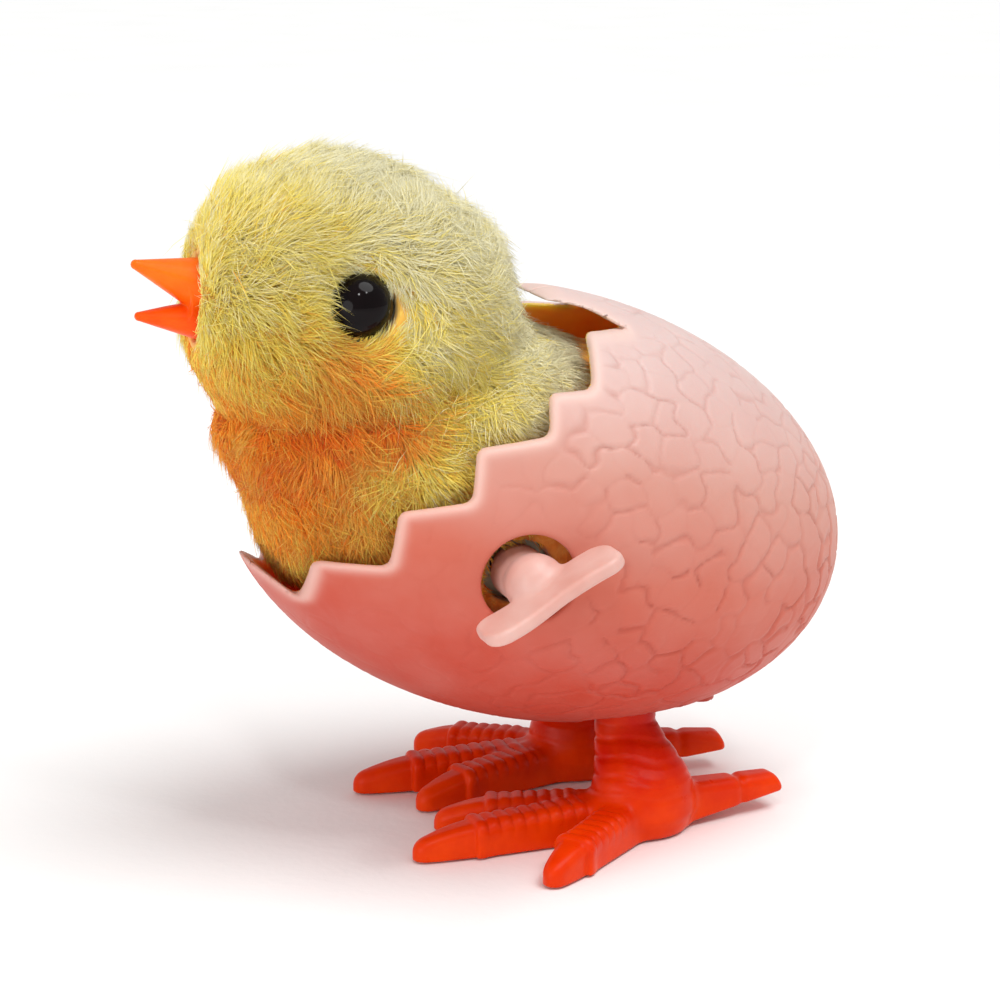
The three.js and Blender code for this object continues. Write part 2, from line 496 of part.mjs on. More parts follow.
function addLegs() {
  const leg = legSolid();
  const { from, to, radius, throw: throwRadius, pin, pinTo } = CRANK;
  const crankPin = [CRANK_AXIS[0], CRANK_AXIS[1] + throwRadius];
  const crank = cut(join(rod(CRANK_AXIS, radius, from, to), rod(crankPin, pin, to - BITE, pinTo, 12)),
    rod(CRANK_AXIS, AXLE + GAP, from - 1, to - 0.3, 12));
  const clipFrom = LEG.to + GAP;
  const clip = cut(rod(LEG_AXIS, LEG_CLIP.radius, clipFrom, clipFrom + LEG_CLIP.thick),
    rod(LEG_AXIS, LEG_CLIP.hole, LEG.from, LEG_PIN_END + 1, 16));
  for (const [side, sign] of SIDES) {
    const place = (piece) => (sign > 0 ? piece : piece.mirror([1, 0, 0]));
    add(`leg_${side}`, place(leg), FOOT_ORANGE);
    add(`crank_${side}`, place(crank), GEAR_WHITE);
    add(`leg_clip_${side}`, place(clip), STEEL);
  }
  add("leg_pivot_pin", rod(LEG_AXIS, LEG.pivot, -LEG_PIN_END, LEG_PIN_END, 16), STEEL);
}

addEggShell();
addPlush();
addHead();
addBeak();
addBodyCore();
addMotorCase();
addWinding();
addTrain();
addPallet();
addLegs();

export default toy;
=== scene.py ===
import json
import math

import bpy
import numpy as np
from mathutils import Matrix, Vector, kdtree


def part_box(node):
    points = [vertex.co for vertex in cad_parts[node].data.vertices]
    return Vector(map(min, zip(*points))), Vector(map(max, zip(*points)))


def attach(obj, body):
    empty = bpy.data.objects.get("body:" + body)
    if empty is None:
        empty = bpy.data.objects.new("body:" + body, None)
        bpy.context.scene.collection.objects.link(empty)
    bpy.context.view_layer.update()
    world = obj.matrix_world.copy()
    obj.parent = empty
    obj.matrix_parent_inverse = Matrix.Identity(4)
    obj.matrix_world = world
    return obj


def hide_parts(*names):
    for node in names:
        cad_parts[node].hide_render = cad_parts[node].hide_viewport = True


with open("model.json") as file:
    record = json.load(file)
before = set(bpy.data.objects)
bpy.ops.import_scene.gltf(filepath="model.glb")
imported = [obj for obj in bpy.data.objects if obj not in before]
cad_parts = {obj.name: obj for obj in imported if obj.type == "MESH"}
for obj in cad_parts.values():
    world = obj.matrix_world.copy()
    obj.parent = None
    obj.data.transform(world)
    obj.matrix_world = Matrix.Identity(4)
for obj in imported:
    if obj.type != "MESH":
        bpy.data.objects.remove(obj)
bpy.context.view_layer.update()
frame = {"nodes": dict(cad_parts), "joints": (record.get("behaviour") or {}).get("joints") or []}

# Wind-up hopping chick. Lengths are in millimetres from the egg's centre, X from the middle
# plane; place() turns them into metres in the row frame.
MM = 0.001
rng = np.random.default_rng(20)

GAP = 0.3
EGG = {"radius": 22.5, "front": 33.5, "rear": 34.5, "tilt": math.radians(-15.5), "wall": 1.3}
RIM = {
    "lip": (-38, 2.6),
    "foot": (-26.9, -5.9),
    "steps": (
        (-26.5, -1.1), (-20.3, -1.0), (-19.5, 4.5), (-12.9, 5.5), (-12.0, 10.4),
        (-4.8, 11.2), (-4.0, 14.9), (0.6, 14.9), (2.2, 19.4), (7.3, 19.2),
    ),
    "arch": ((6.3, 19.65), (5.0, 20.5), (3.6, 21.15), (1.8, 21.65), (-0.6, 22.1), (0.6, 22.5), (2.4, 22.8)),
    "top": 30,
}
HEAD = {"centre": (0, -19.8, 21), "radii": (17, 17.5, 16.3), "pile": 3.0}
CHEST = {"centre": (0, -15.5, 6), "radii": (16, 15.5, 17)}
BEAK_Z = 23.6
EYE = {"y": -22.1, "z": 24, "flat": 13.5, "radius": 3.2, "stem": 0.8, "inner": 9.4}
KEY_AXIS = (-7.6, -2.3)
KEY_HOLE = 4.6
PLUSH_KEY_HOLE = 3.4
CRANK_AXIS = (5.0, -7.985)
LEG_AXIS = (5.0, -15.5)
GROUND = -33.7
BOSS = {"y": 19.6, "radius": 1.5, "bottom": -23.5, "root": -15, "head": 0.9, "shank": 0.5, "seat": -22.3}
LEG_OPENING = {"x": 9.5, "from": 3.2, "to": 13.8}

key_joint = next(j for j in frame["joints"] if j["name"] == "key_wind")
CENTRE = np.array([
    (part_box("egg_shell_right")[0].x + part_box("egg_shell_left")[1].x) / 2 / MM,
    key_joint["pos_m"][1] / MM - KEY_AXIS[0],
    key_joint["pos_m"][2] / MM - KEY_AXIS[1],
])


def place(points):
    return (np.asarray(points, float) + CENTRE) * MM


# ---------------------------------------------------------------- camera
AZIMUTH, ELEVATION = math.radians(70.92), math.radians(13.65)
CAMERA = {"distance": 282.02, "right": -3.16, "up": 0.2, "lens": 97.46}
back = Vector((math.sin(AZIMUTH) * math.cos(ELEVATION), -math.cos(AZIMUTH) * math.cos(ELEVATION),
               math.sin(ELEVATION)))
right = Vector((math.cos(AZIMUTH), math.sin(AZIMUTH), 0))
up = back.cross(right)
camera = bpy.data.objects.new("camera", bpy.data.cameras.new("camera"))
camera.data.lens, camera.data.sensor_width = CAMERA["lens"], 36
camera.data.clip_start, camera.data.clip_end = 0.01, 50
at = right * CAMERA["right"] + up * CAMERA["up"] + back * CAMERA["distance"]
camera.location = place(at[:])
camera.rotation_mode = "QUATERNION"
camera.rotation_quaternion = (-back).to_track_quat("-Z", "Y")
bpy.context.collection.objects.link(camera)
bpy.context.scene.camera = camera


# ---------------------------------------------------------------- distance fields
def ellipsoid(x, y, z, centre, radii):
    a, b, c = ((v - m) / r for v, m, r in zip((x, y, z), centre, radii))
    near = np.sqrt(a * a + b * b + c * c)
    slope = np.sqrt((a / radii[0]) ** 2 + (b / radii[1]) ** 2 + (c / radii[2]) ** 2)
    return near * (near - 1) / np.maximum(slope, 1e-6)


def smin(a, b, k):
    h = np.clip(0.5 + 0.5 * (b - a) / k, 0, 1)
    return b + (a - b) * h - k * h * (1 - h)


def smax(a, b, k):
    return -smin(-a, -b, k)


def block(x, y, z, lo, hi, rounding=0.0):
    q = [np.abs(v - (a + b) / 2) - (b - a) / 2 + rounding for v, a, b in zip((x, y, z), lo, hi)]
    outside = np.sqrt(sum(np.maximum(v, 0) ** 2 for v in q))
    return outside + np.minimum(np.maximum(np.maximum(q[0], q[1]), q[2]), 0) - rounding


def rod(y, z, axis, radius):
    return np.hypot(y - axis[0], z - axis[1]) - radius


def between(v, lo, hi):
    return np.maximum(lo - v, v - hi)


def round_cone(x, y, z, a, b, ra, rb):
    """A cone with ball ends from a to b."""
    a, b = np.array(a, float), np.array(b, float)
    ab = b - a
    t = np.clip(((x - a[0]) * ab[0] + (y - a[1]) * ab[1] + (z - a[2]) * ab[2]) / (ab @ ab), 0, 1)
    away = np.sqrt((x - a[0] - t * ab[0]) ** 2 + (y - a[1] - t * ab[1]) ** 2 + (z - a[2] - t * ab[2]) ** 2)
    return away - (ra + (rb - ra) * t)


def egg(x, y, z, inset):
    c, s = math.cos(EGG["tilt"]), math.sin(EGG["tilt"])
    along, rise = y * c + z * s, z * c - y * s
    r = EGG["radius"] - inset
    front = ellipsoid(x, along, rise, (0, 0, 0), (r, EGG["front"] - inset, r))
    rear = ellipsoid(x, along, rise, (0, 0, 0), (r, EGG["rear"] - inset, r))
    return np.where(along < 0, front, rear)


def head(x, y, z, inset):
    return ellipsoid(x, y, z, HEAD["centre"], [r - inset for r in HEAD["radii"]])


def rim_points(clearance=0.0):
    """The outline, in (y, z), of everything above the stepped rim."""
    (ly, lz), (fy, fz) = RIM["lip"], RIM["foot"]
    points = [(ly, lz + 3 * clearance), (fy - clearance, fz + 3 * clearance)]
    points += [(y - clearance, z + clearance) for y, z in RIM["steps"] + RIM["arch"]]
    return points + [(points[-1][0], RIM["top"]), (ly, RIM["top"])]


def rounded(points, radius, steps=4):
    """The closed outline with each corner turned into an arc-like curve."""
    out = []
    for i, p in enumerate(points):
        before, here, after = (np.array(points[j % len(points)], float) for j in (i - 1, i, i + 1))
        d0, d1 = before - here, after - here
        r = min(radius, 0.45 * np.linalg.norm(d0), 0.45 * np.linalg.norm(d1))
        a, b = here + d0 / np.linalg.norm(d0) * r, here + d1 / np.linalg.norm(d1) * r
        for t in np.linspace(0, 1, steps + 1):
            out.append((1 - t) ** 2 * a + 2 * t * (1 - t) * here + t * t * b)
    return np.array(out)


def outline(y, z, points):
    """Signed distance in (y, z) to a closed outline, negative inside it."""
    y, z = np.broadcast_arrays(y, z)
    best = np.full(y.shape, 1e9)
    inside = np.zeros(y.shape, bool)
    for (y0, z0), (y1, z1) in zip(points, np.roll(points, -1, 0)):
        ey, ez = y1 - y0, z1 - z0
        t = np.clip(((y - y0) * ey + (z - z0) * ez) / max(ey * ey + ez * ez, 1e-12), 0, 1)
        best = np.minimum(best, (y - y0 - t * ey) ** 2 + (z - z0 - t * ez) ** 2)
        if z0 != z1:
            crossed = ((z0 > z) != (z1 > z)) & (y < ey * (z - z0) / ez + y0)
            inside ^= crossed
    return np.where(inside, -1, 1) * np.sqrt(best)


RIM_OUTLINE = rounded(rim_points(), 0.9)
RIM_CLEAR = rounded(rim_points(2 * GAP), 0.9)


# ---------------------------------------------------------------- surface of a field
CORNERS = [(i, j, k) for i in (0, 1) for j in (0, 1) for k in (0, 1)]


def net(field, lo, hi, step):
    """Points and quads of a field's zero surface: one point in each grid cell that it crosses."""
    axes = [np.arange(a - 2 * step, b + 3 * step, step) for a, b in zip(lo, hi)]
    grid = [axes[0][:, None, None], axes[1][None, :, None], axes[2][None, None, :]]
    values = np.broadcast_to(field(*grid), [len(a) for a in axes]).astype(np.float32)
    cells = [n - 1 for n in values.shape]
    count = np.zeros(cells, np.int8)
    inside = (values < 0).astype(np.int8)
    for i, j, k in CORNERS:
        count += inside[i:i + cells[0], j:j + cells[1], k:k + cells[2]]
    at = np.argwhere((count > 0) & (count < 8))
    number = np.full(cells, -1, np.int64)
    number[tuple(at.T)] = np.arange(len(at))
    total, hits = np.zeros((len(at), 3)), np.zeros(len(at))
    for axis in range(3):
        for start in CORNERS:
            if start[axis]:
                continue
            end = list(start)
            end[axis] = 1
            v0 = values[tuple((at + start).T)]
            v1 = values[tuple((at + end).T)]
            cross = (v0 < 0) != (v1 < 0)
            t = np.where(cross, v0 / np.where(cross, v0 - v1, 1), 0)
            spot = np.tile(np.array(start, float), (len(at), 1))
            spot[:, axis] += t
            total += spot * cross[:, None]
            hits += cross
    points = np.array([a[0] for a in axes]) + (at + total / hits[:, None]) * step
    quads = []
    for axis in range(3):
        u, v = (axis + 1) % 3, (axis + 2) % 3
        a = [slice(1, n) for n in cells]
        a[axis] = slice(0, cells[axis])
        b = list(a)
        b[axis] = slice(1, cells[axis] + 1)
        low, high = inside[tuple(a)], inside[tuple(b)]
        for out, found in ((False, low > high), (True, high > low)):
            spots = np.argwhere(found)
            spots[:, u] += 1
            spots[:, v] += 1
            corners = []
            for du, dv in ((1, 1), (0, 1), (0, 0), (1, 0)):
                c = spots.copy()
                c[:, u] -= du
                c[:, v] -= dv
                corners.append(number[tuple(c.T)])
            quad = np.stack(corners, 1)
            quads.append(quad[:, ::-1] if out else quad)
    for _ in range(2):
        points -= np.clip(pull(field, points), -0.4 * step, 0.4 * step)
    return points, np.concatenate(quads)


def slope(field, points, reach=0.02):
    sides = []
    for axis in range(3):
        ahead, behind = points.copy(), points.copy()
        ahead[:, axis] += reach
        behind[:, axis] -= reach
        sides.append((field(*ahead.T) - field(*behind.T)) / (2 * reach))
    return np.stack(sides, 1)


def pull(field, points):
    g = slope(field, points)
    return g * (field(*points.T) / np.maximum((g * g).sum(1), 0.05))[:, None]


def build(name, points, faces, materials, body, replaces=(), shades=None, flat=False):
    """A mesh piece from points in millimetres and faces of one size, riding on a CAD body."""
    mesh = bpy.data.meshes.new(name)
    mesh.vertices.add(len(points))
    mesh.vertices.foreach_set("co", place(points).astype(np.float32).ravel())
    mesh.loops.add(faces.size)
    mesh.loops.foreach_set("vertex_index", faces.astype(np.int32).ravel())
    mesh.polygons.add(len(faces))
    mesh.polygons.foreach_set("loop_start", np.arange(len(faces), dtype=np.int32) * faces.shape[1])
    if shades is not None:
        mesh.polygons.foreach_set("material_index", shades.astype(np.int32))
    mesh.polygons.foreach_set("use_smooth", np.full(len(faces), not flat))
    mesh.update(calc_edges=True)
    for m in materials:
        mesh.materials.append(m)
    piece = bpy.data.objects.new(name, mesh)
    bpy.context.collection.objects.link(piece)
    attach(piece, body)
    if replaces:
        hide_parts(*replaces)
    return piece


# ---------------------------------------------------------------- materials
def srgb(*rgb):
    return tuple((v / 255 / 12.92) if v <= 10 else ((v / 255 + 0.055) / 1.055) ** 2.4 for v in rgb) + (1,)


class Look:
    """A Principled material whose colour, roughness and relief come from its nodes."""

    def __init__(self, name, roughness=0.4, **sockets):
        self.material = bpy.data.materials.new(name)
        self.material.use_nodes = True
        self.tree = self.material.node_tree
        self.shader = next(n for n in self.tree.nodes if n.type == "BSDF_PRINCIPLED")
        self.shader.inputs["Roughness"].default_value = roughness
        for key, value in sockets.items():
            self.shader.inputs[key.replace("_", " ").title().replace("Ior", "IOR")].default_value = value
        self.where = self.node("TexCoord").outputs["Object"]

    def node(self, kind, **values):
        n = self.tree.nodes.new("ShaderNode" + kind)
        for key, value in values.items():
            setattr(n, key, value)
        return n

    def link(self, source, target):
        self.tree.links.new(source, target)

    def noise(self, size, detail=3, stretch=(1, 1, 1), distortion=0.0):
        """Noise whose features are about size millimetres."""
        mapping = self.node("Mapping")
        mapping.inputs["Scale"].default_value = stretch
        self.link(self.where, mapping.inputs["Vector"])
        n = self.node("TexNoise")
        n.inputs["Scale"].default_value = 1 / (size * MM)
        n.inputs["Detail"].default_value = detail
        n.inputs["Distortion"].default_value = distortion
        self.link(mapping.outputs["Vector"], n.inputs["Vector"])
        return n.outputs["Fac"]

    def height(self, low, high, lean=0.0):
        """0 at low and 1 at high, in millimetres from the egg's centre, rising by lean towards +Y."""
        aim = self.node("VectorMath", operation="DOT_PRODUCT")
        aim.inputs[1].default_value = (0, lean, 1)
        self.link(self.where, aim.inputs[0])
        span = self.node("MapRange")
        level = CENTRE[2] + lean * CENTRE[1]
        span.inputs["From Min"].default_value = (low + level) * MM
        span.inputs["From Max"].default_value = (high + level) * MM
        self.link(aim.outputs["Value"], span.inputs["Value"])
        return span.outputs["Result"]

    def ramp(self, source, *stops):
        n = self.node("ValToRGB")
        elements = n.color_ramp.elements
        while len(elements) < len(stops):
            elements.new(0.5)
        for element, (where, colour) in zip(elements, stops):
            element.position, element.color = where, colour
        self.link(source, n.inputs["Fac"])
        return n.outputs["Color"]

    def mix(self, a, b, amount, mode="MIX"):
        n = self.node("Mix", data_type="RGBA", blend_type=mode)
        factor = n.inputs[0]
        if isinstance(amount, float):
            factor.default_value = amount
        else:
            self.link(amount, factor)
        for source, socket in ((a, n.inputs[6]), (b, n.inputs[7])):
            if isinstance(source, tuple):
                socket.default_value = source
            else:
                self.link(source, socket)
        return n.outputs[2]

    def span(self, source, low, high):
        n = self.node("MapRange")
        n.inputs["To Min"].default_value, n.inputs["To Max"].default_value = low, high
        self.link(source, n.inputs["Value"])
        return n.outputs["Result"]

    def colour(self, source):
        self.link(source, self.shader.inputs["Base Color"])
        return self

    def rough(self, source, low, high):
        self.link(self.span(source, low, high), self.shader.inputs["Roughness"])
        return self

    def bump(self, source, depth, strength=1.0, below=None):
        n = self.node("Bump")
        n.inputs["Strength"].default_value = strength
        n.inputs["Distance"].default_value = depth * MM
        self.link(source, n.inputs["Height"])
        if below is not None:
            self.link(below, n.inputs["Normal"])
        self.link(n.outputs["Normal"], self.shader.inputs["Normal"])
        return n.outputs["Normal"]


def plastic(name, dark, light, roughness, grain=2.0, relief=0.03, **sockets):
    look = Look(name, roughness, **sockets)
    cloud = look.noise(grain * 3, 4)
    fine = look.noise(grain * 0.25, 3)
    look.colour(look.ramp(cloud, (0.3, dark), (0.7, light)))
    look.rough(fine, roughness - 0.06, roughness + 0.08)
    look.bump(fine, relief)
    return look.material


def metal(name, dark, light, roughness):
    look = Look(name, roughness, metallic=1.0)
    turned = look.noise(0.5, 3, stretch=(1, 8, 8))
    look.colour(look.ramp(turned, (0.3, dark), (0.7, light)))
    look.rough(look.noise(0.3, 2), roughness - 0.08, roughness + 0.12)
    look.bump(turned, 0.01)
    return look.material


def shell_look():
    look = Look("shell_plastic", 0.42, subsurface_weight=0.12, subsurface_scale=0.0015,
                specular_ior_level=0.25)
    look.shader.inputs["Subsurface Radius"].default_value = (1.0, 0.35, 0.25)
    # Painted shade and light: the shell runs from deep coral low down to pale pink high up and towards the rear,
    # where the light falls; the noise mixed in is the plastic's own uneven tone.
    rise = look.ramp(look.height(-26, 26, 0.28), (0.0, srgb(184, 58, 42)), (0.25, srgb(192, 72, 54)),
                     (0.45, srgb(204, 106, 86)), (0.65, srgb(206, 150, 136)), (0.85, srgb(216, 188, 182)),
                     (1.0, srgb(228, 210, 206)))
    cloud = look.ramp(look.noise(9, 3), (0.35, srgb(196, 96, 76)), (0.65, srgb(226, 178, 166)))
    base = look.mix(rise, cloud, 0.12)
    # Painted shade: the crackle's grooves are darkened, standing in for the shadow that falls in them.
    groove = look.node("Attribute", attribute_name="groove").outputs["Fac"]
    # Painted highlight: a pale line along the rim, standing in for light caught on the wall's cut edge.
    edge = look.node("Attribute", attribute_name="edge").outputs["Fac"]
    deep = look.mix(base, srgb(226, 176, 164), 0.32, "MULTIPLY")
    look.colour(look.mix(look.mix(base, deep, groove), srgb(240, 206, 194), edge))
    fine = look.noise(0.5, 4)
    look.rough(look.noise(3, 3), 0.36, 0.5)
    look.bump(fine, 0.02)
    return look.material


def shell_inside_look():
    look = Look("shell_inside_painted_light", 0.5, subsurface_weight=0.7, subsurface_scale=0.003)
    look.shader.inputs["Subsurface Radius"].default_value = (1.0, 0.6, 0.2)
    # Painted light: the inside of the pink shell is coloured orange to yellow, brighter higher up, standing in for
    # light bounced off the yellow pile and shining through the thin plastic.
    rise = look.ramp(look.height(-10, 22), (0.0, srgb(236, 122, 84)), (0.5, srgb(255, 176, 70)),
                     (1.0, srgb(255, 212, 100)))
    look.colour(look.mix(rise, look.ramp(look.noise(4, 3), (0.3, srgb(226, 120, 50)),
                                         (0.7, srgb(252, 190, 96))), 0.3))
    look.bump(look.noise(0.8, 3), 0.02)
    return look.material


def key_look():
    look = Look("key_plastic", 0.38, subsurface_weight=0.15, subsurface_scale=0.0015)
    look.shader.inputs["Subsurface Radius"].default_value = (1.0, 0.4, 0.3)
    look.colour(look.ramp(look.noise(5, 3), (0.3, srgb(212, 156, 144)), (0.7, srgb(222, 180, 170))))
    look.rough(look.noise(1.5, 3), 0.3, 0.46)
    look.bump(look.noise(0.7, 3), 0.02)
    return look.material


def foot_look():
    look = Look("foot_plastic", 0.3, subsurface_weight=0.2, subsurface_scale=0.0012,
                specular_ior_level=0.12)
    look.shader.inputs["Subsurface Radius"].default_value = (1.0, 0.25, 0.03)
    # Painted shade: the feet are bright orange at the toes and darken to deep red up the shank, under the shell,
    # where shade falls; the noise mixed in is the plastic's own uneven tone.
    rise = look.ramp(look.height(-33, -18), (0.0, srgb(236, 64, 0)), (0.5, srgb(202, 22, 0)),
                     (1.0, srgb(178, 8, 0)))
    cloud = look.ramp(look.noise(4, 4), (0.35, srgb(188, 12, 0)), (0.7, srgb(242, 76, 2)))
    look.colour(look.mix(rise, cloud, 0.3))
    look.rough(look.noise(1.2, 3), 0.22, 0.4)
    look.bump(look.noise(0.6, 3), 0.03)
    return look.material


def beak_look():
    look = Look("beak_plastic", 0.35, subsurface_weight=0.2, subsurface_scale=0.001,
                specular_ior_level=0.12)
    look.shader.inputs["Subsurface Radius"].default_value = (1.0, 0.35, 0.08)
    # Painted shade and light: the lower mandible is a darker orange in shade and the upper, lit from above, a lighter
    # one; the noise mixed in is the plastic's own uneven tone.
    rise = look.ramp(look.height(19.5, 26), (0.0, srgb(238, 70, 4)), (0.45, srgb(240, 78, 6)),
                     (0.7, srgb(250, 106, 12)), (1.0, srgb(252, 116, 18)))
    cloud = look.ramp(look.noise(2.5, 3), (0.3, srgb(240, 78, 4)), (0.7, srgb(252, 118, 20)))
    look.colour(look.mix(rise, cloud, 0.3))
    look.rough(look.noise(1.0, 3), 0.28, 0.44)
    look.bump(look.noise(0.5, 3), 0.02)
    return look.material


def eye_look():
    look = Look("eye_plastic", 0.08, specular_ior_level=0.13)
    look.colour(look.ramp(look.noise(2.0, 3), (0.3, srgb(5, 2, 3)), (0.8, srgb(16, 6, 7))))
    look.rough(look.noise(1.0, 2), 0.05, 0.1)
    return look.material


def plush_look():
    look = Look("plush_backing", 0.95, sheen_weight=0.3)
    # Partly painted shade and light: the backing runs from dark orange low down to cream-yellow high up, like the
    # pile's painted shade under the head and light on the crown, over the plush's own yellow; the noise mixed in is
    # its own uneven tone.
    rise = look.ramp(look.height(-8, 34), (0.0, srgb(214, 104, 16)), (0.35, srgb(240, 120, 16)),
                     (0.6, srgb(252, 176, 50)), (1.0, srgb(255, 232, 120)))
    look.colour(look.mix(rise, look.ramp(look.noise(1.6, 5, distortion=1.0), (0.3, srgb(214, 110, 20)),
                                         (0.7, srgb(255, 224, 120))), 0.3))
    look.bump(look.noise(0.5, 5, stretch=(1, 1, 0.3)), 0.3)
    return look.material


FIBRES = [
    (196, 66, 4), (240, 104, 10), (255, 136, 26), (255, 166, 50), (255, 194, 82),
    (255, 224, 92), (255, 238, 128), (255, 242, 172), (255, 249, 212),
]


def fibre_look(i, colour):
    """One shade of pile fibre. The pile's pattern, partly its own tones and partly painted light and shade, is in
    which fibres wear which shade.
    """
    look = Look(f"fibre_{i}", 0.75, sheen_weight=0.08, specular_ior_level=0.2)
    look.shader.inputs["Base Color"].default_value = srgb(*colour)
    return look.material


SHELL_INSIDE = shell_inside_look()
SHELL, KEY, FOOT, BEAK, EYE_BLACK = shell_look(), key_look(), foot_look(), beak_look(), eye_look()
PLUSH = plush_look()
FIBRE_LOOKS = [fibre_look(i, c) for i, c in enumerate(FIBRES)]
CREAM = plastic("core_plastic", srgb(222, 212, 184), srgb(238, 230, 204), 0.5)
WHITE = plastic("case_plastic", srgb(212, 215, 218), srgb(230, 232, 234), 0.45)
NYLON = plastic("gear_nylon", srgb(232, 228, 216), srgb(246, 244, 236), 0.4, grain=1.2)
RED = plastic("gear_red", srgb(176, 44, 38), srgb(206, 66, 54), 0.4, grain=1.2)
STEEL = metal("steel", srgb(150, 154, 158), srgb(190, 193, 196), 0.3)
SPRING = metal("spring_steel", srgb(84, 96, 112), srgb(126, 140, 158), 0.34)
BRASS = metal("brass", srgb(176, 134, 58), srgb(222, 184, 100), 0.3)

INNER_LOOKS = {
    "core_cream": CREAM, "case_white": WHITE, "gear_white": NYLON, "gear_red": RED,
    "steel": STEEL, "spring_steel": SPRING, "brass": BRASS, "shell_pink": SHELL, "key_pink": KEY,
    "plush_yellow": PLUSH, "foot_orange": FOOT, "beak_orange": BEAK, "eye_black": EYE_BLACK,
}


# ---------------------------------------------------------------- egg shell
def crackle_seeds(spacing=2.5, tries=14000):
    """Points spread over the egg, no two closer than spacing."""
    way = rng.normal(size=(tries, 3))
    way /= np.linalg.norm(way, axis=1)[:, None]
    spots = way * np.array([EGG["radius"], 34, EGG["radius"]])
    c, s = math.cos(EGG["tilt"]), math.sin(EGG["tilt"])
    spots = np.stack([spots[:, 0], spots[:, 1] * c - spots[:, 2] * s, spots[:, 1] * s + spots[:, 2] * c], 1)
    kept = np.empty((0, 3))
    for p in spots:
        if not len(kept) or ((kept - p) ** 2).sum(1).min() > spacing ** 2:
            kept = np.vstack([kept, p])
    return kept


SEEDS = crackle_seeds()


def waves(points, size, phases):
    """A smooth random value from -1 to 1 at each point, with features of about size."""
    total = 0
    for kx, ky, kz, shift in phases:
        total = total + np.sin((points[:, 0] * kx + points[:, 1] * ky + points[:, 2] * kz) / size * 2 + shift)
    return total / len(phases)


def phases(n=6):
    way = rng.normal(size=(n, 3))
    way /= np.linalg.norm(way, axis=1)[:, None]
    return np.hstack([way * rng.uniform(0.7, 1.6, (n, 1)), rng.uniform(0, 6.28, (n, 1))])


CRACKLE_WAVES = [phases() for _ in range(5)]


def crackle(points):
    """How deep the moulded crackle lies at each point, in millimetres."""
    bent = points.copy()
    for axis in range(3):
        bent[:, axis] += 1.0 * waves(points, 1.25, CRACKLE_WAVES[axis])
    depth = np.zeros(len(points))
    for start in range(0, len(points), 20000):
        part = bent[start:start + 20000]
        d = np.sqrt(((part[:, None, :] - SEEDS[None, :, :]) ** 2).sum(2))
        order = np.argpartition(d, 2, axis=1)[:, :2]
        near = np.take_along_axis(d, order, 1)
        gap = np.abs(near[:, 0] - near[:, 1])
        pair = (np.minimum(order[:, 0], order[:, 1]) * 7919 + np.maximum(order[:, 0], order[:, 1]) * 104729) % 1000
        strength = np.clip(pair / 1000 * 1.5 - 0.05, 0.15, 1)
        groove = np.exp(-((gap / 0.42) ** 2)) - 0.3 * np.exp(-(((gap - 0.95) / 0.4) ** 2))
        depth[start:start + 20000] = groove * strength
    side = np.clip((points[:, 1] + 18) / 18, 0.2, 1)
    low = np.clip((points[:, 2] + 26) / 8, 0.4, 1)
    patchy = 0.75 + 0.35 * waves(points, 7, CRACKLE_WAVES[3])
    return 0.25 * depth * side * low * patchy


def make_shell(name, side):
    has_key = side > 0

    def field(x, y, z):
        wall = smax(egg(x, y, z, 0), -egg(x, y, z, EGG["wall"]), 0.2)
        post_y = np.hypot(x, y - BOSS["y"])
        boss = smax(post_y - BOSS["radius"], between(z, BOSS["bottom"], BOSS["root"]), 0.3)
        wall = smin(wall, smax(boss, -egg(x, y, z, EGG["wall"]), 0.2), 0.5)
        wall = smax(wall, -outline(y, z, RIM_OUTLINE), 0.5)
        x_side, y_from, y_to = LEG_OPENING["x"], LEG_OPENING["from"], LEG_OPENING["to"]
        wall = smax(wall, -block(x, y, z, (-x_side, y_from, -30), (x_side, y_to, -10), 1.2), 0.4)
        if has_key:
            wall = smax(wall, -np.maximum(rod(y, z, KEY_AXIS, KEY_HOLE), 10 - x), 0.5)
        wall = np.maximum(wall, -np.maximum(post_y - BOSS["shank"] - GAP, z + 10))
        wall = np.maximum(wall, -np.maximum(post_y - BOSS["head"] - GAP, z - BOSS["seat"]))
        return smax(wall, GAP / 2 - x, 0.15)

    r = EGG["radius"]
    points, quads = net(field, (0, -34, -25), (r, 35, 23), 0.31)
    on_outside = np.abs(egg(*points.T, 0)) < 0.06
    edge = np.clip((outline(points[:, 1], points[:, 2], RIM_OUTLINE) - 0.7) / 1.6, 0, 1)
    hole = np.clip((rod(points[:, 1], points[:, 2], KEY_AXIS, KEY_HOLE) - 0.8) / 1.5, 0, 1) if has_key else 1
    points[:, 0] *= side
    moved = crackle(points) * on_outside * edge * hole
    out = slope(lambda x, y, z: egg(x, y, z, 0), points)
    points -= np.maximum(moved, -0.02)[:, None] * out / np.linalg.norm(out, axis=1)[:, None]
    if side < 0:
        quads = quads[:, ::-1]
    # The faces inside the wall wear the inside material, painted with bounced and shining-through light.
    hidden = egg(*points[quads].mean(1).T, 0) < -0.9
    piece = build(name, points, quads, [SHELL, SHELL_INSIDE], "toy", [name], shades=hidden)
    # The edge value below is a painted highlight along the rim.
    from_rim = outline(points[:, 1], points[:, 2], RIM_OUTLINE)
    # groove: how far the crackle sinks, used for painted shade in the grooves.
    for label, value in (("groove", np.clip(moved / 0.2, 0, 1)), ("edge", 0.6 * np.exp(-(from_rim / 0.7) ** 2))):
        piece.data.attributes.new(label, "FLOAT", "POINT").data.foreach_set("value", value.astype(np.float32))
    return piece


make_shell("egg_shell_left", 1).name = "shell_half_left"
make_shell("egg_shell_right", -1).name = "shell_half_right"


# ---------------------------------------------------------------- winding key
KEY_SHAPE = {"hub": 2.7, "from": 16.8, "to": 23.6, "wings": (24, 29.8), "span": 15.4, "thick": 1.4,
             "angle": math.radians(27.6), "bore": 1.8, "bore_end": 21.3}


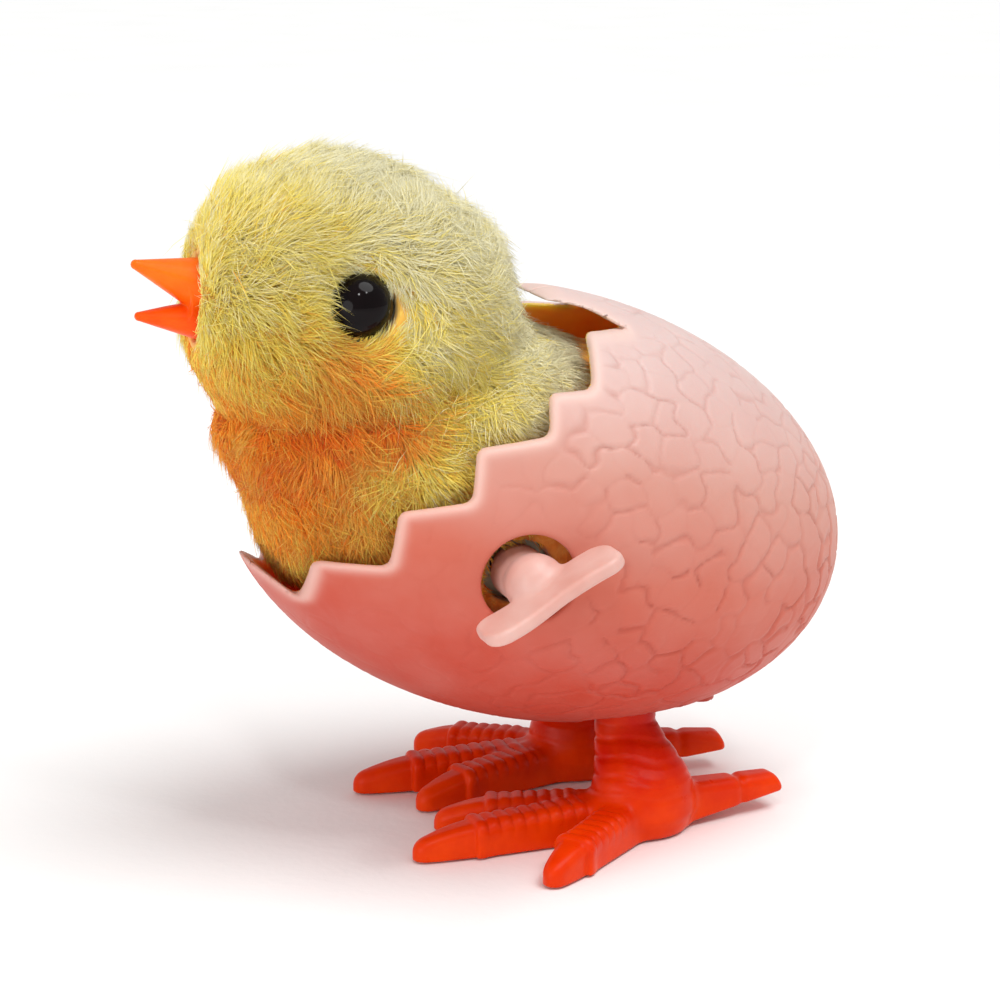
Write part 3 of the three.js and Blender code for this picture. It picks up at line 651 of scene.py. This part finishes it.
def make_key():
    c, s = math.cos(KEY_SHAPE["angle"]), math.sin(KEY_SHAPE["angle"])
    x0, x1 = KEY_SHAPE["wings"]

    def field(x, y, z):
        across = (y - KEY_AXIS[0]) * c + (z - KEY_AXIS[1]) * s
        lift = (z - KEY_AXIS[1]) * c - (y - KEY_AXIS[0]) * s
        radial = rod(y, z, KEY_AXIS, 0)
        hub = smax(radial - KEY_SHAPE["hub"], between(x, KEY_SHAPE["from"], KEY_SHAPE["to"]), 0.5)
        tip = ellipsoid(x, y, z, (KEY_SHAPE["to"] - 0.8, *KEY_AXIS), (2.9, 3.0, 3.0))
        bend = 0.22 * np.sin(np.clip(across / (KEY_SHAPE["span"] / 2), -1, 1) * math.pi)
        waist = 0.3 * np.exp(-((across / 2.6) ** 2))
        middle, reach = (x0 + x1) / 2, (x1 - x0) / 2 - waist
        corner = 2.0
        qa = np.abs(across) - KEY_SHAPE["span"] / 2 + corner
        qx = np.abs(x - middle) - reach + corner
        plan = np.hypot(np.maximum(qa, 0), np.maximum(qx, 0)) + np.minimum(np.maximum(qa, qx), 0) - corner
        thick = np.abs(lift - bend) - KEY_SHAPE["thick"] / 2
        wings = smax(plan, thick, 0.55)
        whole = smin(smin(hub, tip, 0.4), wings, 0.9)
        return np.maximum(whole, -np.maximum(radial - KEY_SHAPE["bore"], x - KEY_SHAPE["bore_end"]))

    points, quads = net(field, (16.5, -16, -8.5), (30, 0.8, 4), 0.17)
    build("key", points, quads, [KEY], "winding_key", ["winding_key"])


make_key()


# ---------------------------------------------------------------- beak and eyes
def beak_field(x, y, z):
    upper = round_cone(x * 0.76, y, z, (0, -32.6, 24.1), (0, -40.75, 26.95), 3.35, 0.5)
    lower = round_cone(x * 0.7, y, z, (0, -32.8, 21.0), (0, -40.6, 21.85), 2.5, 0.45)
    lower = smax(lower, z - 22.9 + 0.06 * (x * x), 0.3)
    both = smin(upper, lower, 0.35)
    root = np.maximum(np.hypot(x, z - BEAK_Z) - 2.9, between(y, -36, -30.5))
    return smin(both, root, 0.3)


def make_beak():
    points, quads = net(beak_field, (-5, -41.4, 18.2), (5, -29, 28), 0.15)
    build("beak_moulding", points, quads, [BEAK], "toy", ["beak"])


def make_eye(name, side):
    def field(x, y, z):
        dome = ellipsoid(x, y, z, (EYE["flat"], EYE["y"], EYE["z"]), (EYE["radius"],) * 3)
        dome = smax(dome, EYE["flat"] - x, 0.4)
        stem = smax(rod(y, z, (EYE["y"], EYE["z"]), EYE["stem"]), between(x, EYE["inner"], 14), 0.2)
        return np.minimum(dome, stem)

    r = EYE["radius"]
    points, quads = net(field, (EYE["inner"], EYE["y"] - r, EYE["z"] - r),
                        (EYE["flat"] + r, EYE["y"] + r, EYE["z"] + r), 0.13)
    points[:, 0] *= side
    if side < 0:
        quads = quads[:, ::-1]
    build(name, points, quads, [EYE_BLACK], "toy", [name.replace("bead", "eye")])


make_beak()
make_eye("bead_left", 1)
make_eye("bead_right", -1)


# ---------------------------------------------------------------- legs and feet
ANKLE = (9.6, 9.0)
SHANK = {"top": -18.0, "straight": -22.5, "low": -28, "foot": -31}
HIP = {"x": 6.6, "y": 8.25, "rx": 2.45, "ry": 3.2}
CALF = {"x": 9.6, "y": 9.0, "rx": 3.85, "ry": 5.05}
TOES = {"middle": (10.9, -16.5), "outer": (22.3, -6.0), "inner": (2.9, -11.7), "back": (7.1, 25.8)}


def ridges(s, pitch):
    """Rounded cross ridges along a toe: 1 on each crown and 0 in each groove."""
    turn = (s / pitch) % 1 * 2 - 1
    return np.sqrt(np.maximum(1 - turn * turn, 0))


def toe_field(x, y, z, tip, back_toe):
    run = np.array(tip) - ANKLE
    length = float(np.hypot(*run))
    run /= length
    s = (x - ANKLE[0]) * run[0] + (y - ANKLE[1]) * run[1]
    t = np.abs((x - ANKLE[0]) * -run[1] + (y - ANKLE[1]) * run[0])
    h = z - GROUND
    part = np.clip(s / length, 0, 1)
    if back_toe:
        h = h - 1.9 * np.clip((part - 0.15) / 0.85, 0, 1)
        crease = np.exp(-(((part - 0.68) / 0.028) ** 2)) * 0.22
        tall = 4.1 - 2.2 * np.clip((part - 0.3) / 0.7, 0, 1) - crease
        wide = 2.15 - 0.55 * part - crease
        toe = smax(section(t, h, wide, tall, 1.2), -h, 0.5)
        end = s - length + 0.55 * h * 0.8
        return smax(smax(toe, end, 0.8), -s - 2, 0.5)
    claw_from = length * 0.755
    pitch = claw_from / round(claw_from / 1.4)
    on_top = np.clip((h - 1.6) / 1.4, 0, 1)
    fade = np.clip((s - 5.5) / 2, 0, 1)
    ridge = ridges(s, pitch) * fade
    swell = 0.28 * np.exp(-(((s - claw_from + 0.5) / 1.0) ** 2))
    tall = 4.2 - 0.75 * np.clip(s / claw_from, 0, 1) + 0.3 * ridge
    wide = 2.1 - 0.25 * part + 0.12 * ridge * on_top + swell
    toe = smax(section(t, h, wide, tall, 1.35), s - claw_from, 0.35)
    toe = smax(toe, -s - 2, 0.5)
    q = np.clip((s - claw_from + 1) / (length - claw_from + 1), 0, 1)
    claw_tall = 3.45 - 1.5 * q ** 1.6
    claw_wide = 1.72 - 0.75 * q ** 1.8
    claw = smax(section(t, h, claw_wide, claw_tall, 1.15), between(s, claw_from - 1, length), 1.3)
    return smin(toe, claw, 0.2)


def section(t, h, wide, tall, corner):
    """A moulded toe's section: flat sole, upright sides and a rounded top."""
    qt, qh = t - wide + corner, h - tall + corner
    return np.hypot(np.maximum(qt, 0), np.maximum(qh, 0)) + np.minimum(np.maximum(qt, qh), 0) - corner


def belt(y, z, a, b, radius):
    (ay, az), (by, bz) = a, b
    t = np.clip(((y - ay) * (by - ay) + (z - az) * (bz - az)) / ((by - ay) ** 2 + (bz - az) ** 2), 0, 1)
    return np.hypot(y - ay - t * (by - ay), z - az - t * (bz - az)) - radius


def leg_field(x, y, z):
    plate = np.maximum(belt(y, z, CRANK_AXIS, LEG_AXIS, 3.4), between(x, 8.6, 10.6))
    cy, cz = CRANK_AXIS
    plate = np.maximum(plate, -block(x, y, z, (7, cy - 2, cz - 2.4), (12, cy + 2, cz + 2.4)))
    link = block(x, y, z, (7.4, 5.6, -18.3), (10.6, 10, -15.5), 0.3)
    whole = smin(plate, link, 0.3)
    drop = np.clip((SHANK["straight"] - z) / (SHANK["straight"] - SHANK["low"]), 0, 1)
    drop = drop * drop * (3 - 2 * drop) * 0.5 + drop * 0.5
    cx, cy, rx, ry = (HIP[k] + (CALF[k] - HIP[k]) * drop for k in ("x", "y", "rx", "ry"))
    away = np.sqrt(((x - cx) / rx) ** 2 + ((y - cy) / ry) ** 2)
    wrinkle = np.sin(z * 3.7 + 0.9 * np.sin(y * 0.8 + x * 0.5) + 0.3 * y)
    wrinkle = 0.1 * np.maximum(wrinkle, 0) * np.clip((-21.5 - z) / 2, 0, 1)
    shank = smax((away - 1) * rx * 0.95 + wrinkle, between(z, SHANK["foot"], SHANK["top"]), 0.6)
    whole = smin(whole, shank, 0.4)
    palm = ellipsoid(x, y, z, (*ANKLE, GROUND + 2.6), (4.5, 5.5, 4.9))
    foot = smin(shank, palm, 1.6)
    for place_name, tip in TOES.items():
        foot = smin(foot, toe_field(x, y, z, tip, place_name == "back"), 0.9)
    whole = smin(whole, foot, 0.3)
    whole = smax(whole, GROUND - z, 0.25)
    return np.maximum(whole, -(rod(y, z, LEG_AXIS, 1.3)))


def make_legs():
    points, quads = net(leg_field, (0.5, -17.5, GROUND), (23, 26.5, -4), 0.19)
    build("foot_left", points, quads, [FOOT], "leg_left", ["leg_left"])
    build("foot_right", points * [-1, 1, 1], quads[:, ::-1], [FOOT], "leg_right", ["leg_right"])


make_legs()


# ---------------------------------------------------------------- plush skins
LUMPS = [phases() for _ in range(2)]
SKIN = {"head": 1.35, "body": 3.3, "chest": 1.9}
THINNEST = 0.8
# Where the stuffing stands proud or lies low: (y, z, reach, amount)
HEAD_SWELL = [
    (-32, 34, 3, 1.0), (-36, 29, 3, 1.1), (-38, 25, 3, 1.2), (-37, 20, 3, 0.5), (-34, 13, 3, -1.3),
    (-22, 38, 4, 0.7), (-14, 36, 4, -0.8), (-9, 33, 4, -0.6), (-14, 17, 4, 0.5),
]
BODY_SWELL = [
    (-31, 10, 2.6, 1.8), (-26, 9, 3, 0.8), (-32, 1, 3, -0.4), (3, 20, 4.5, -1.9), (-6, 18, 3, -0.5),
]


def lump_grid(x, y, z, which, size):
    total = 0
    for kx, ky, kz, shift in LUMPS[which]:
        total = total + np.sin((x * kx + y * ky + z * kz) / size * 2 + shift)
    return total / len(LUMPS[which])


def swell(y, z, places):
    return sum(h * np.exp(-((y - py) ** 2 + (z - pz) ** 2) / (2 * r * r)) for py, pz, r, h in places)


def head_skin(x, y, z):
    lumps = 0.3 + 0.45 * lump_grid(x, y, z, 0, 4.5)
    dimple = 2.3 * np.exp(-(x * x + (z - BEAK_Z) ** 2) / (2 * 2.9 ** 2)) * np.clip((-28 - y) / 3, 0, 1)
    return head(x, y, z, SKIN["head"]) + lumps - swell(y, z, HEAD_SWELL) + dimple


def body_skin(x, y, z):
    trunk = egg(x, y, z, SKIN["body"])
    chest = ellipsoid(x, y, z, CHEST["centre"], [r - SKIN["chest"] for r in CHEST["radii"]])
    skin = smin(trunk, chest, 3.0) + 0.2 + 0.3 * lump_grid(x, y, z, 1, 5) - swell(y, z, BODY_SWELL)
    skin = smin(skin, head_skin(x, y, z) + GAP, 6.5)
    room = np.minimum(egg(x, y, z, EGG["wall"] + 2 * GAP), outline(y, z, RIM_CLEAR))
    return smax(skin, room, 0.6)


def head_piece(x, y, z):
    outer = head_skin(x, y, z)
    hollow = np.maximum(head(x, y, z, HEAD["pile"]), outer + THINNEST)
    skin = smax(outer, -hollow, 0.2)
    eyes = np.maximum(rod(y, z, (EYE["y"], EYE["z"]), EYE["radius"] + 0.15), 10 - np.abs(x))
    beak = beak_field(x, y, z) - 0.25
    neck = np.maximum(np.hypot(x, y - HEAD["centre"][1]) - 7, z - 15)
    return smax(smax(smax(skin, -eyes, 0.3), -beak, 0.3), -neck, 0.3)


def body_piece(x, y, z):
    skin = smax(body_skin(x, y, z), -egg(x, y, z, 6.1), 0.3)
    skin = smax(skin, GAP - head_skin(x, y, z), 0.3)
    skin = smax(skin, -block(x, y, z, (-12.2, -15, -30), (12.2, 15, -8)), 0.3)
    skin = smax(skin, -np.maximum(rod(y, z, KEY_AXIS, PLUSH_KEY_HOLE), 8 - x), 0.3)
    return smax(skin, -np.maximum(np.hypot(x, y - BOSS["y"]) - 1, z + 8), 0.3)


head_points, head_quads = net(head_piece, (-17, -38, 4), (17, -2, 38), 0.42)
body_points, body_quads = net(body_piece, (-21, -33, -22), (21, 33, 24), 0.65)
skin_head = build("plush_head_skin", head_points, head_quads, [PLUSH], "toy", ["plush_head"])
skin_body = build("plush_body_skin", body_points, body_quads, [PLUSH], "toy", ["plush_body"])


# ---------------------------------------------------------------- pile fibres
def scatter(points, quads, keep, count):
    """Random points spread evenly over the quads whose corners are all kept."""
    quads = quads[keep[quads].all(1)]
    a, b, c, d = (points[quads[:, i]] for i in range(4))
    area = (np.linalg.norm(np.cross(b - a, c - a), axis=1) + np.linalg.norm(np.cross(c - a, d - a), axis=1)) / 2
    chosen = rng.choice(len(quads), count, p=area / area.sum())
    u, v = rng.random((2, count, 1))
    low, high = a[chosen] * (1 - u) + b[chosen] * u, d[chosen] * (1 - u) + c[chosen] * u
    return low * (1 - v) + high * v, area.sum()


def unit(v):
    return v / np.maximum(np.linalg.norm(v, axis=1), 1e-9)[:, None]


# Shade of the pile by place: (y, z, how far it reaches, shade from 0 dark orange to 8 cream). Partly the pile's own
# yellow-to-cream tones and partly painted light and shade: cream where light falls on the crown and back, dark orange
# painted shade under the chin, in the neck crease and low on the chest.
SHADES = [
    (-23.6, 36.1, 5, 6.8), (-29.6, 33.4, 4, 6.3), (-27.2, 31.2, 3, 4.7), (-17.1, 33.5, 5, 7.6),
    (-11.8, 28.8, 5, 6.7), (-20, 28, 4, 6.2), (-28, 23.5, 3, 4.7), (-32.9, 25.6, 4, 5.9),
    (-33.6, 29.7, 4, 5.1), (-31.6, 21.1, 4, 4.0), (-25.8, 18.5, 4, 2.6), (-16.1, 21.9, 4, 5.4),
    (-13.6, 15.6, 4, 4.9), (-33.6, 14.6, 4, 2.8), (-28.1, 14.3, 4, 1.3), (-26.5, 10.3, 3, 1.0),
    (-18.6, 13, 3, 1.0), (-30.1, 7.8, 4, 1.5), (-29.4, 1.9, 4, 2.2), (-23.4, 5.2, 4, 2.8),
    (-16, 8.1, 4, 5.0), (-26.9, -2, 4, 3.2), (-2.1, 12.1, 5, 7.7), (-1, 18, 5, 7.9), (-6, 26, 5, 7.1), (-19, 22, 3, 5.8),
    (-9, 13, 3, 6.2), (-10, 6, 4, 5.4), (4, 20, 5, 7.0), (0, 0, 10, 2.2),
]
FUR_WAVES = [phases() for _ in range(8)]


def shade_at(points):
    near, total = np.zeros(len(points)), np.full(len(points), 1e-6)
    for y, z, reach, value in SHADES:
        w = np.exp(-((points[:, 1] - y) ** 2 + (points[:, 2] - z) ** 2) / (2 * (reach * 0.75) ** 2))
        near += w * value
        total += w
    return near / total


def flow_head(p):
    beak = np.array([0, -38, 23])
    away = unit(p - beak)
    down = np.clip((26 - p[:, 2]) / 12, -0.5, 1.2)
    way = away * [0.5, 1.0, 0.6] + np.outer(down, [0, 0.15, -0.9])
    way[:, 2] += np.where(p[:, 2] > 30, 0.35, 0)
    return way


def flow_body(p):
    neck = np.array([0, -19, 16])
    away = unit(p - neck)
    behind = np.clip((p[:, 1] + 20) / 16, 0, 1)[:, None]
    return away * (1 - 0.4 * behind) + (1 - behind) * [0, 0.25, -0.9] + behind * [0, 1.2, -0.25]


def grow(roots, normals, flow, length, lift, width, shade):
    """Closed curved fibres: triangular in section, bent along the flow, drawn together in locks."""
    n = len(roots)
    sway = np.stack([waves(roots, 2.6, FUR_WAVES[i]) for i in range(3)], 1)
    flow = unit(flow) + 0.85 * sway + rng.normal(scale=0.42, size=(n, 3))
    flow = unit(flow - (flow * normals).sum(1)[:, None] * normals)
    rise = lift * np.clip(1 + 0.3 * waves(roots, 3.5, FUR_WAVES[3]) + rng.normal(scale=0.22, size=n), 0.3, 2)
    size = length * np.clip(1 + rng.normal(scale=0.2, size=n) + 0.2 * waves(roots, 4.5, FUR_WAVES[4]), 0.4, 1.7)
    turn = np.cross(normals, flow) * (rng.normal(scale=0.45, size=n) + 0.4 * waves(roots, 1.7, FUR_WAVES[5]))[:, None]
    stations = []
    for t in (0.0, 0.36, 0.72, 1.0):
        stations.append(roots - normals * 0.15 + size[:, None] * (
            normals * (rise * (t - 0.42 * t * t))[:, None] + flow * (0.55 * t + 0.45 * t * t) + turn * t * t))
    tree = kdtree.KDTree(n // 16 + 1)
    leads = np.arange(0, n, 16)
    for i, j in enumerate(leads):
        tree.insert(roots[j], i)
    tree.balance()
    lead = leads[[tree.find(p)[1] for p in roots]]
    hold = np.clip(0.45 + 0.3 * waves(roots, 3, FUR_WAVES[6]), 0.1, 0.75)[:, None]
    for k, share in ((1, 0.3), (2, 0.75), (3, 1.0)):
        stations[k] += (stations[k][lead] - stations[k]) * hold * share
    shade = shade + 0.6 + 0.7 * waves(roots, 2.2, FUR_WAVES[7]) + rng.normal(scale=0.5, size=n)
    lock = rng.normal(scale=0.45, size=n)[lead]
    shade = shade + lock
    across = unit(np.cross(stations[3] - stations[0], normals))
    other = unit(np.cross(stations[3] - stations[0], across))
    points = []
    for k, thick in enumerate((1.0, 0.95, 0.6)):
        for corner in range(3):
            a = 2 * math.pi * corner / 3 + 0.5
            points.append(stations[k] + (across * math.cos(a) + other * math.sin(a)) * (width * thick / 2)[:, None])
    points.append(stations[3])
    return np.stack(points, 1), shade


FIBRE_FACES = np.array(
    [(0, 2, 1)]
    + [f for r in (0, 3) for i, j in ((0, 1), (1, 2), (2, 0))
       for f in ((r + i, r + j, r + 3 + j), (r + i, r + 3 + j, r + 3 + i))]
    + [(6, 7, 9), (7, 8, 9), (8, 6, 9)])
FIBRE_STEPS = np.array([0] + [0] * 6 + [1] * 6 + [2] * 3)
PER_PIECE = 12000


def build_fibres(name, fibres, shade):
    """The fibres in pieces of at most PER_PIECE, in order along Y, each a piece of its own."""
    order = np.argsort(fibres[:, 0, 1] + rng.normal(scale=0.3, size=len(fibres)))
    for number, chosen in enumerate(np.array_split(order, math.ceil(len(order) / PER_PIECE))):
        points = fibres[chosen].reshape(-1, 3)
        faces = (np.arange(len(chosen))[:, None, None] * 10 + FIBRE_FACES).reshape(-1, 3)
        # Each fibre is darker at the root, painted shade deep in the pile, and paler towards the tip, the pile's own
        # cream tips.
        root_shade_tip_tone = shade[chosen][:, None] + np.array([-0.5, 0.1, 0.7])[FIBRE_STEPS][None, :]
        shades = np.clip(np.round(root_shade_tip_tone), 0, len(FIBRES) - 1).reshape(-1)
        piece = build(f"{name}_{number + 1}", points, faces, FIBRE_LOOKS, "toy", shades=shades)
        piece.data.validate()


def eye_distance(p):
    return np.hypot(p[:, 1] - EYE["y"], p[:, 2] - EYE["z"]) + np.where(np.abs(p[:, 0]) > 8, 0, 50)


def grow_head(count):
    outer = np.abs(head_skin(*head_points.T)) < 0.2
    free = body_skin(*head_points.T) > -0.8
    p, _ = scatter(head_points, head_quads, outer & free, count)
    p = p[(eye_distance(p) > EYE["radius"] + 0.1) & (beak_field(*p.T) > 0.75)]
    eye, beak = eye_distance(p), beak_field(*p.T)
    normals = unit(slope(head_skin, p))
    flow = flow_head(p)
    around = np.zeros_like(p)
    around[:, 1], around[:, 2] = p[:, 1] - EYE["y"], p[:, 2] - EYE["z"]
    near_eye = np.clip((5.4 - eye) / 2.2, 0, 0.7)[:, None]
    flow = unit(flow) * (1 - near_eye) - unit(around) * [0, 0.15, 0.8] * near_eye
    crown = np.clip((p[:, 2] - 26) / 8, 0, 1)
    length = 3.3 + 0.4 * crown
    length = length * np.clip((eye - 1.9) / 4, 0.35, 1) * np.clip(0.15 + beak / 4.5, 0.2, 1)
    lift = 0.5 + 0.14 * crown
    near_neck = np.clip(1 - body_skin(*p.T) / 3, 0, 1)
    length = length * (1 + 0.35 * near_neck)
    lift = lift * np.clip((eye - 2.2) / 4, 0.4, 1)
    shade = shade_at(p)
    width = rng.uniform(0.07, 0.125, len(p))
    fibres, shade = grow(p, normals, flow, length, lift, width, shade)
    build_fibres("plush_head_pile", fibres, shade)


def grow_body(count):
    outer = np.abs(body_skin(*body_points.T)) < 0.25
    above = outline(body_points[:, 1], body_points[:, 2], RIM_OUTLINE) < 1.2
    at_key = (rod(body_points[:, 1], body_points[:, 2], KEY_AXIS, 0) < 8) & (body_points[:, 0] > 0)
    free = head_skin(*body_points.T) > 0.1
    p, _ = scatter(body_points, body_quads, outer & free & (above | at_key), count)
    normals = unit(slope(body_skin, p))
    under = outline(p[:, 1], p[:, 2], RIM_OUTLINE)
    key = rod(p[:, 1], p[:, 2], KEY_AXIS, 0) + np.where(p[:, 0] > 0, 0, 50)
    flow = flow_body(p)
    length = 3.3 * np.clip(1 - (under + 0.5) / 2.5, 0.3, 1)
    length = np.where(key < 9, 1.2, length)
    lift = np.clip(0.46 - 0.1 * (under + 1.5), 0.12, 0.5)
    shade = shade_at(p)
    width = rng.uniform(0.07, 0.125, len(p))
    fibres, shade = grow(p, normals, flow, length, lift, width, shade)
    build_fibres("plush_body_pile", fibres, shade)


grow_head(68000)
grow_body(42000)


# ---------------------------------------------------------------- carried-over CAD nodes
CARRIED = {
    "core_cream": ("head_core", "body_core_left", "body_core_right"),
    "case_white": ("motor_case_left", "motor_case_right"),
    "gear_white": ("main_gear", "crank_gear", "crank_left", "crank_right"),
    "gear_red": ("idler_gear", "escape_wheel"),
    "brass": ("ratchet_wheel", "pallet"),
    "spring_steel": ("mainspring",),
    "steel": ("shell_screw", "eye_washer_left", "eye_washer_right", "core_screw_front", "core_screw_rear",
              "neck_screw", "case_screw_lower", "case_screw_upper", "case_screw_rear", "winding_arbor",
              "click_pawl", "idler_axle", "crankshaft", "escape_axle", "pallet_axle", "leg_clip_left",
              "leg_clip_right", "leg_pivot_pin"),
}
for slot_name, names in CARRIED.items():
    for name in names:
        node = frame["nodes"][name]
        node.data.materials.clear()
        node.data.materials.append(INNER_LOOKS[slot_name])


# ---------------------------------------------------------------- floor and light
def make_floor():
    look = Look("floor_paper", 0.8)
    look.colour(look.ramp(look.noise(40, 3), (0.3, srgb(248, 248, 247)), (0.7, srgb(251, 251, 250))))
    look.bump(look.noise(1.5, 3), 0.05)
    rings = 48
    turn = np.linspace(0, 2 * math.pi, rings, endpoint=False)
    mesh = bpy.data.meshes.new("floor")
    mesh.from_pydata([(6 * math.cos(a), 6 * math.sin(a), -0.0002) for a in turn], [], [list(range(rings))])
    mesh.materials.append(look.material)
    floor = bpy.data.objects.new("floor", mesh)
    bpy.context.collection.objects.link(floor)


def area_light(name, at_mm, size, power, colour=(1, 1, 1)):
    data = bpy.data.lights.new(name, "AREA")
    data.shape, data.size, data.energy, data.color = "DISK", size, power, colour
    lamp = bpy.data.objects.new(name, data)
    lamp.location = place(at_mm)
    aim = Vector(place((0, 0, 0))) - lamp.location
    lamp.rotation_mode = "QUATERNION"
    lamp.rotation_quaternion = aim.to_track_quat("-Z", "Y")
    bpy.context.collection.objects.link(lamp)


make_floor()
world = bpy.data.worlds.new("studio")
world.use_nodes = True
sky = world.node_tree.nodes["Background"]
sky.inputs["Color"].default_value, sky.inputs["Strength"].default_value = (1, 1, 1, 1), 0.56
bpy.context.scene.world = world
overhead = bpy.data.lights.new("overhead", "SUN")
overhead.energy, overhead.angle = 1.75, math.radians(40)
lamp = bpy.data.objects.new("overhead", overhead)
lamp.rotation_mode = "QUATERNION"
lamp.rotation_quaternion = Vector((-0.22, -0.28, -1)).to_track_quat("-Z", "Y")
bpy.context.collection.objects.link(lamp)
area_light("soft_box_near", (330, -130, 420), 0.05, 0.3)
area_light("soft_box_far", (300, 90, 430), 0.04, 0.18)
area_light("soft_box_front", (230, -380, 60), 0.3, 0.55)
bpy.context.scene.view_settings.view_transform = "Standard"
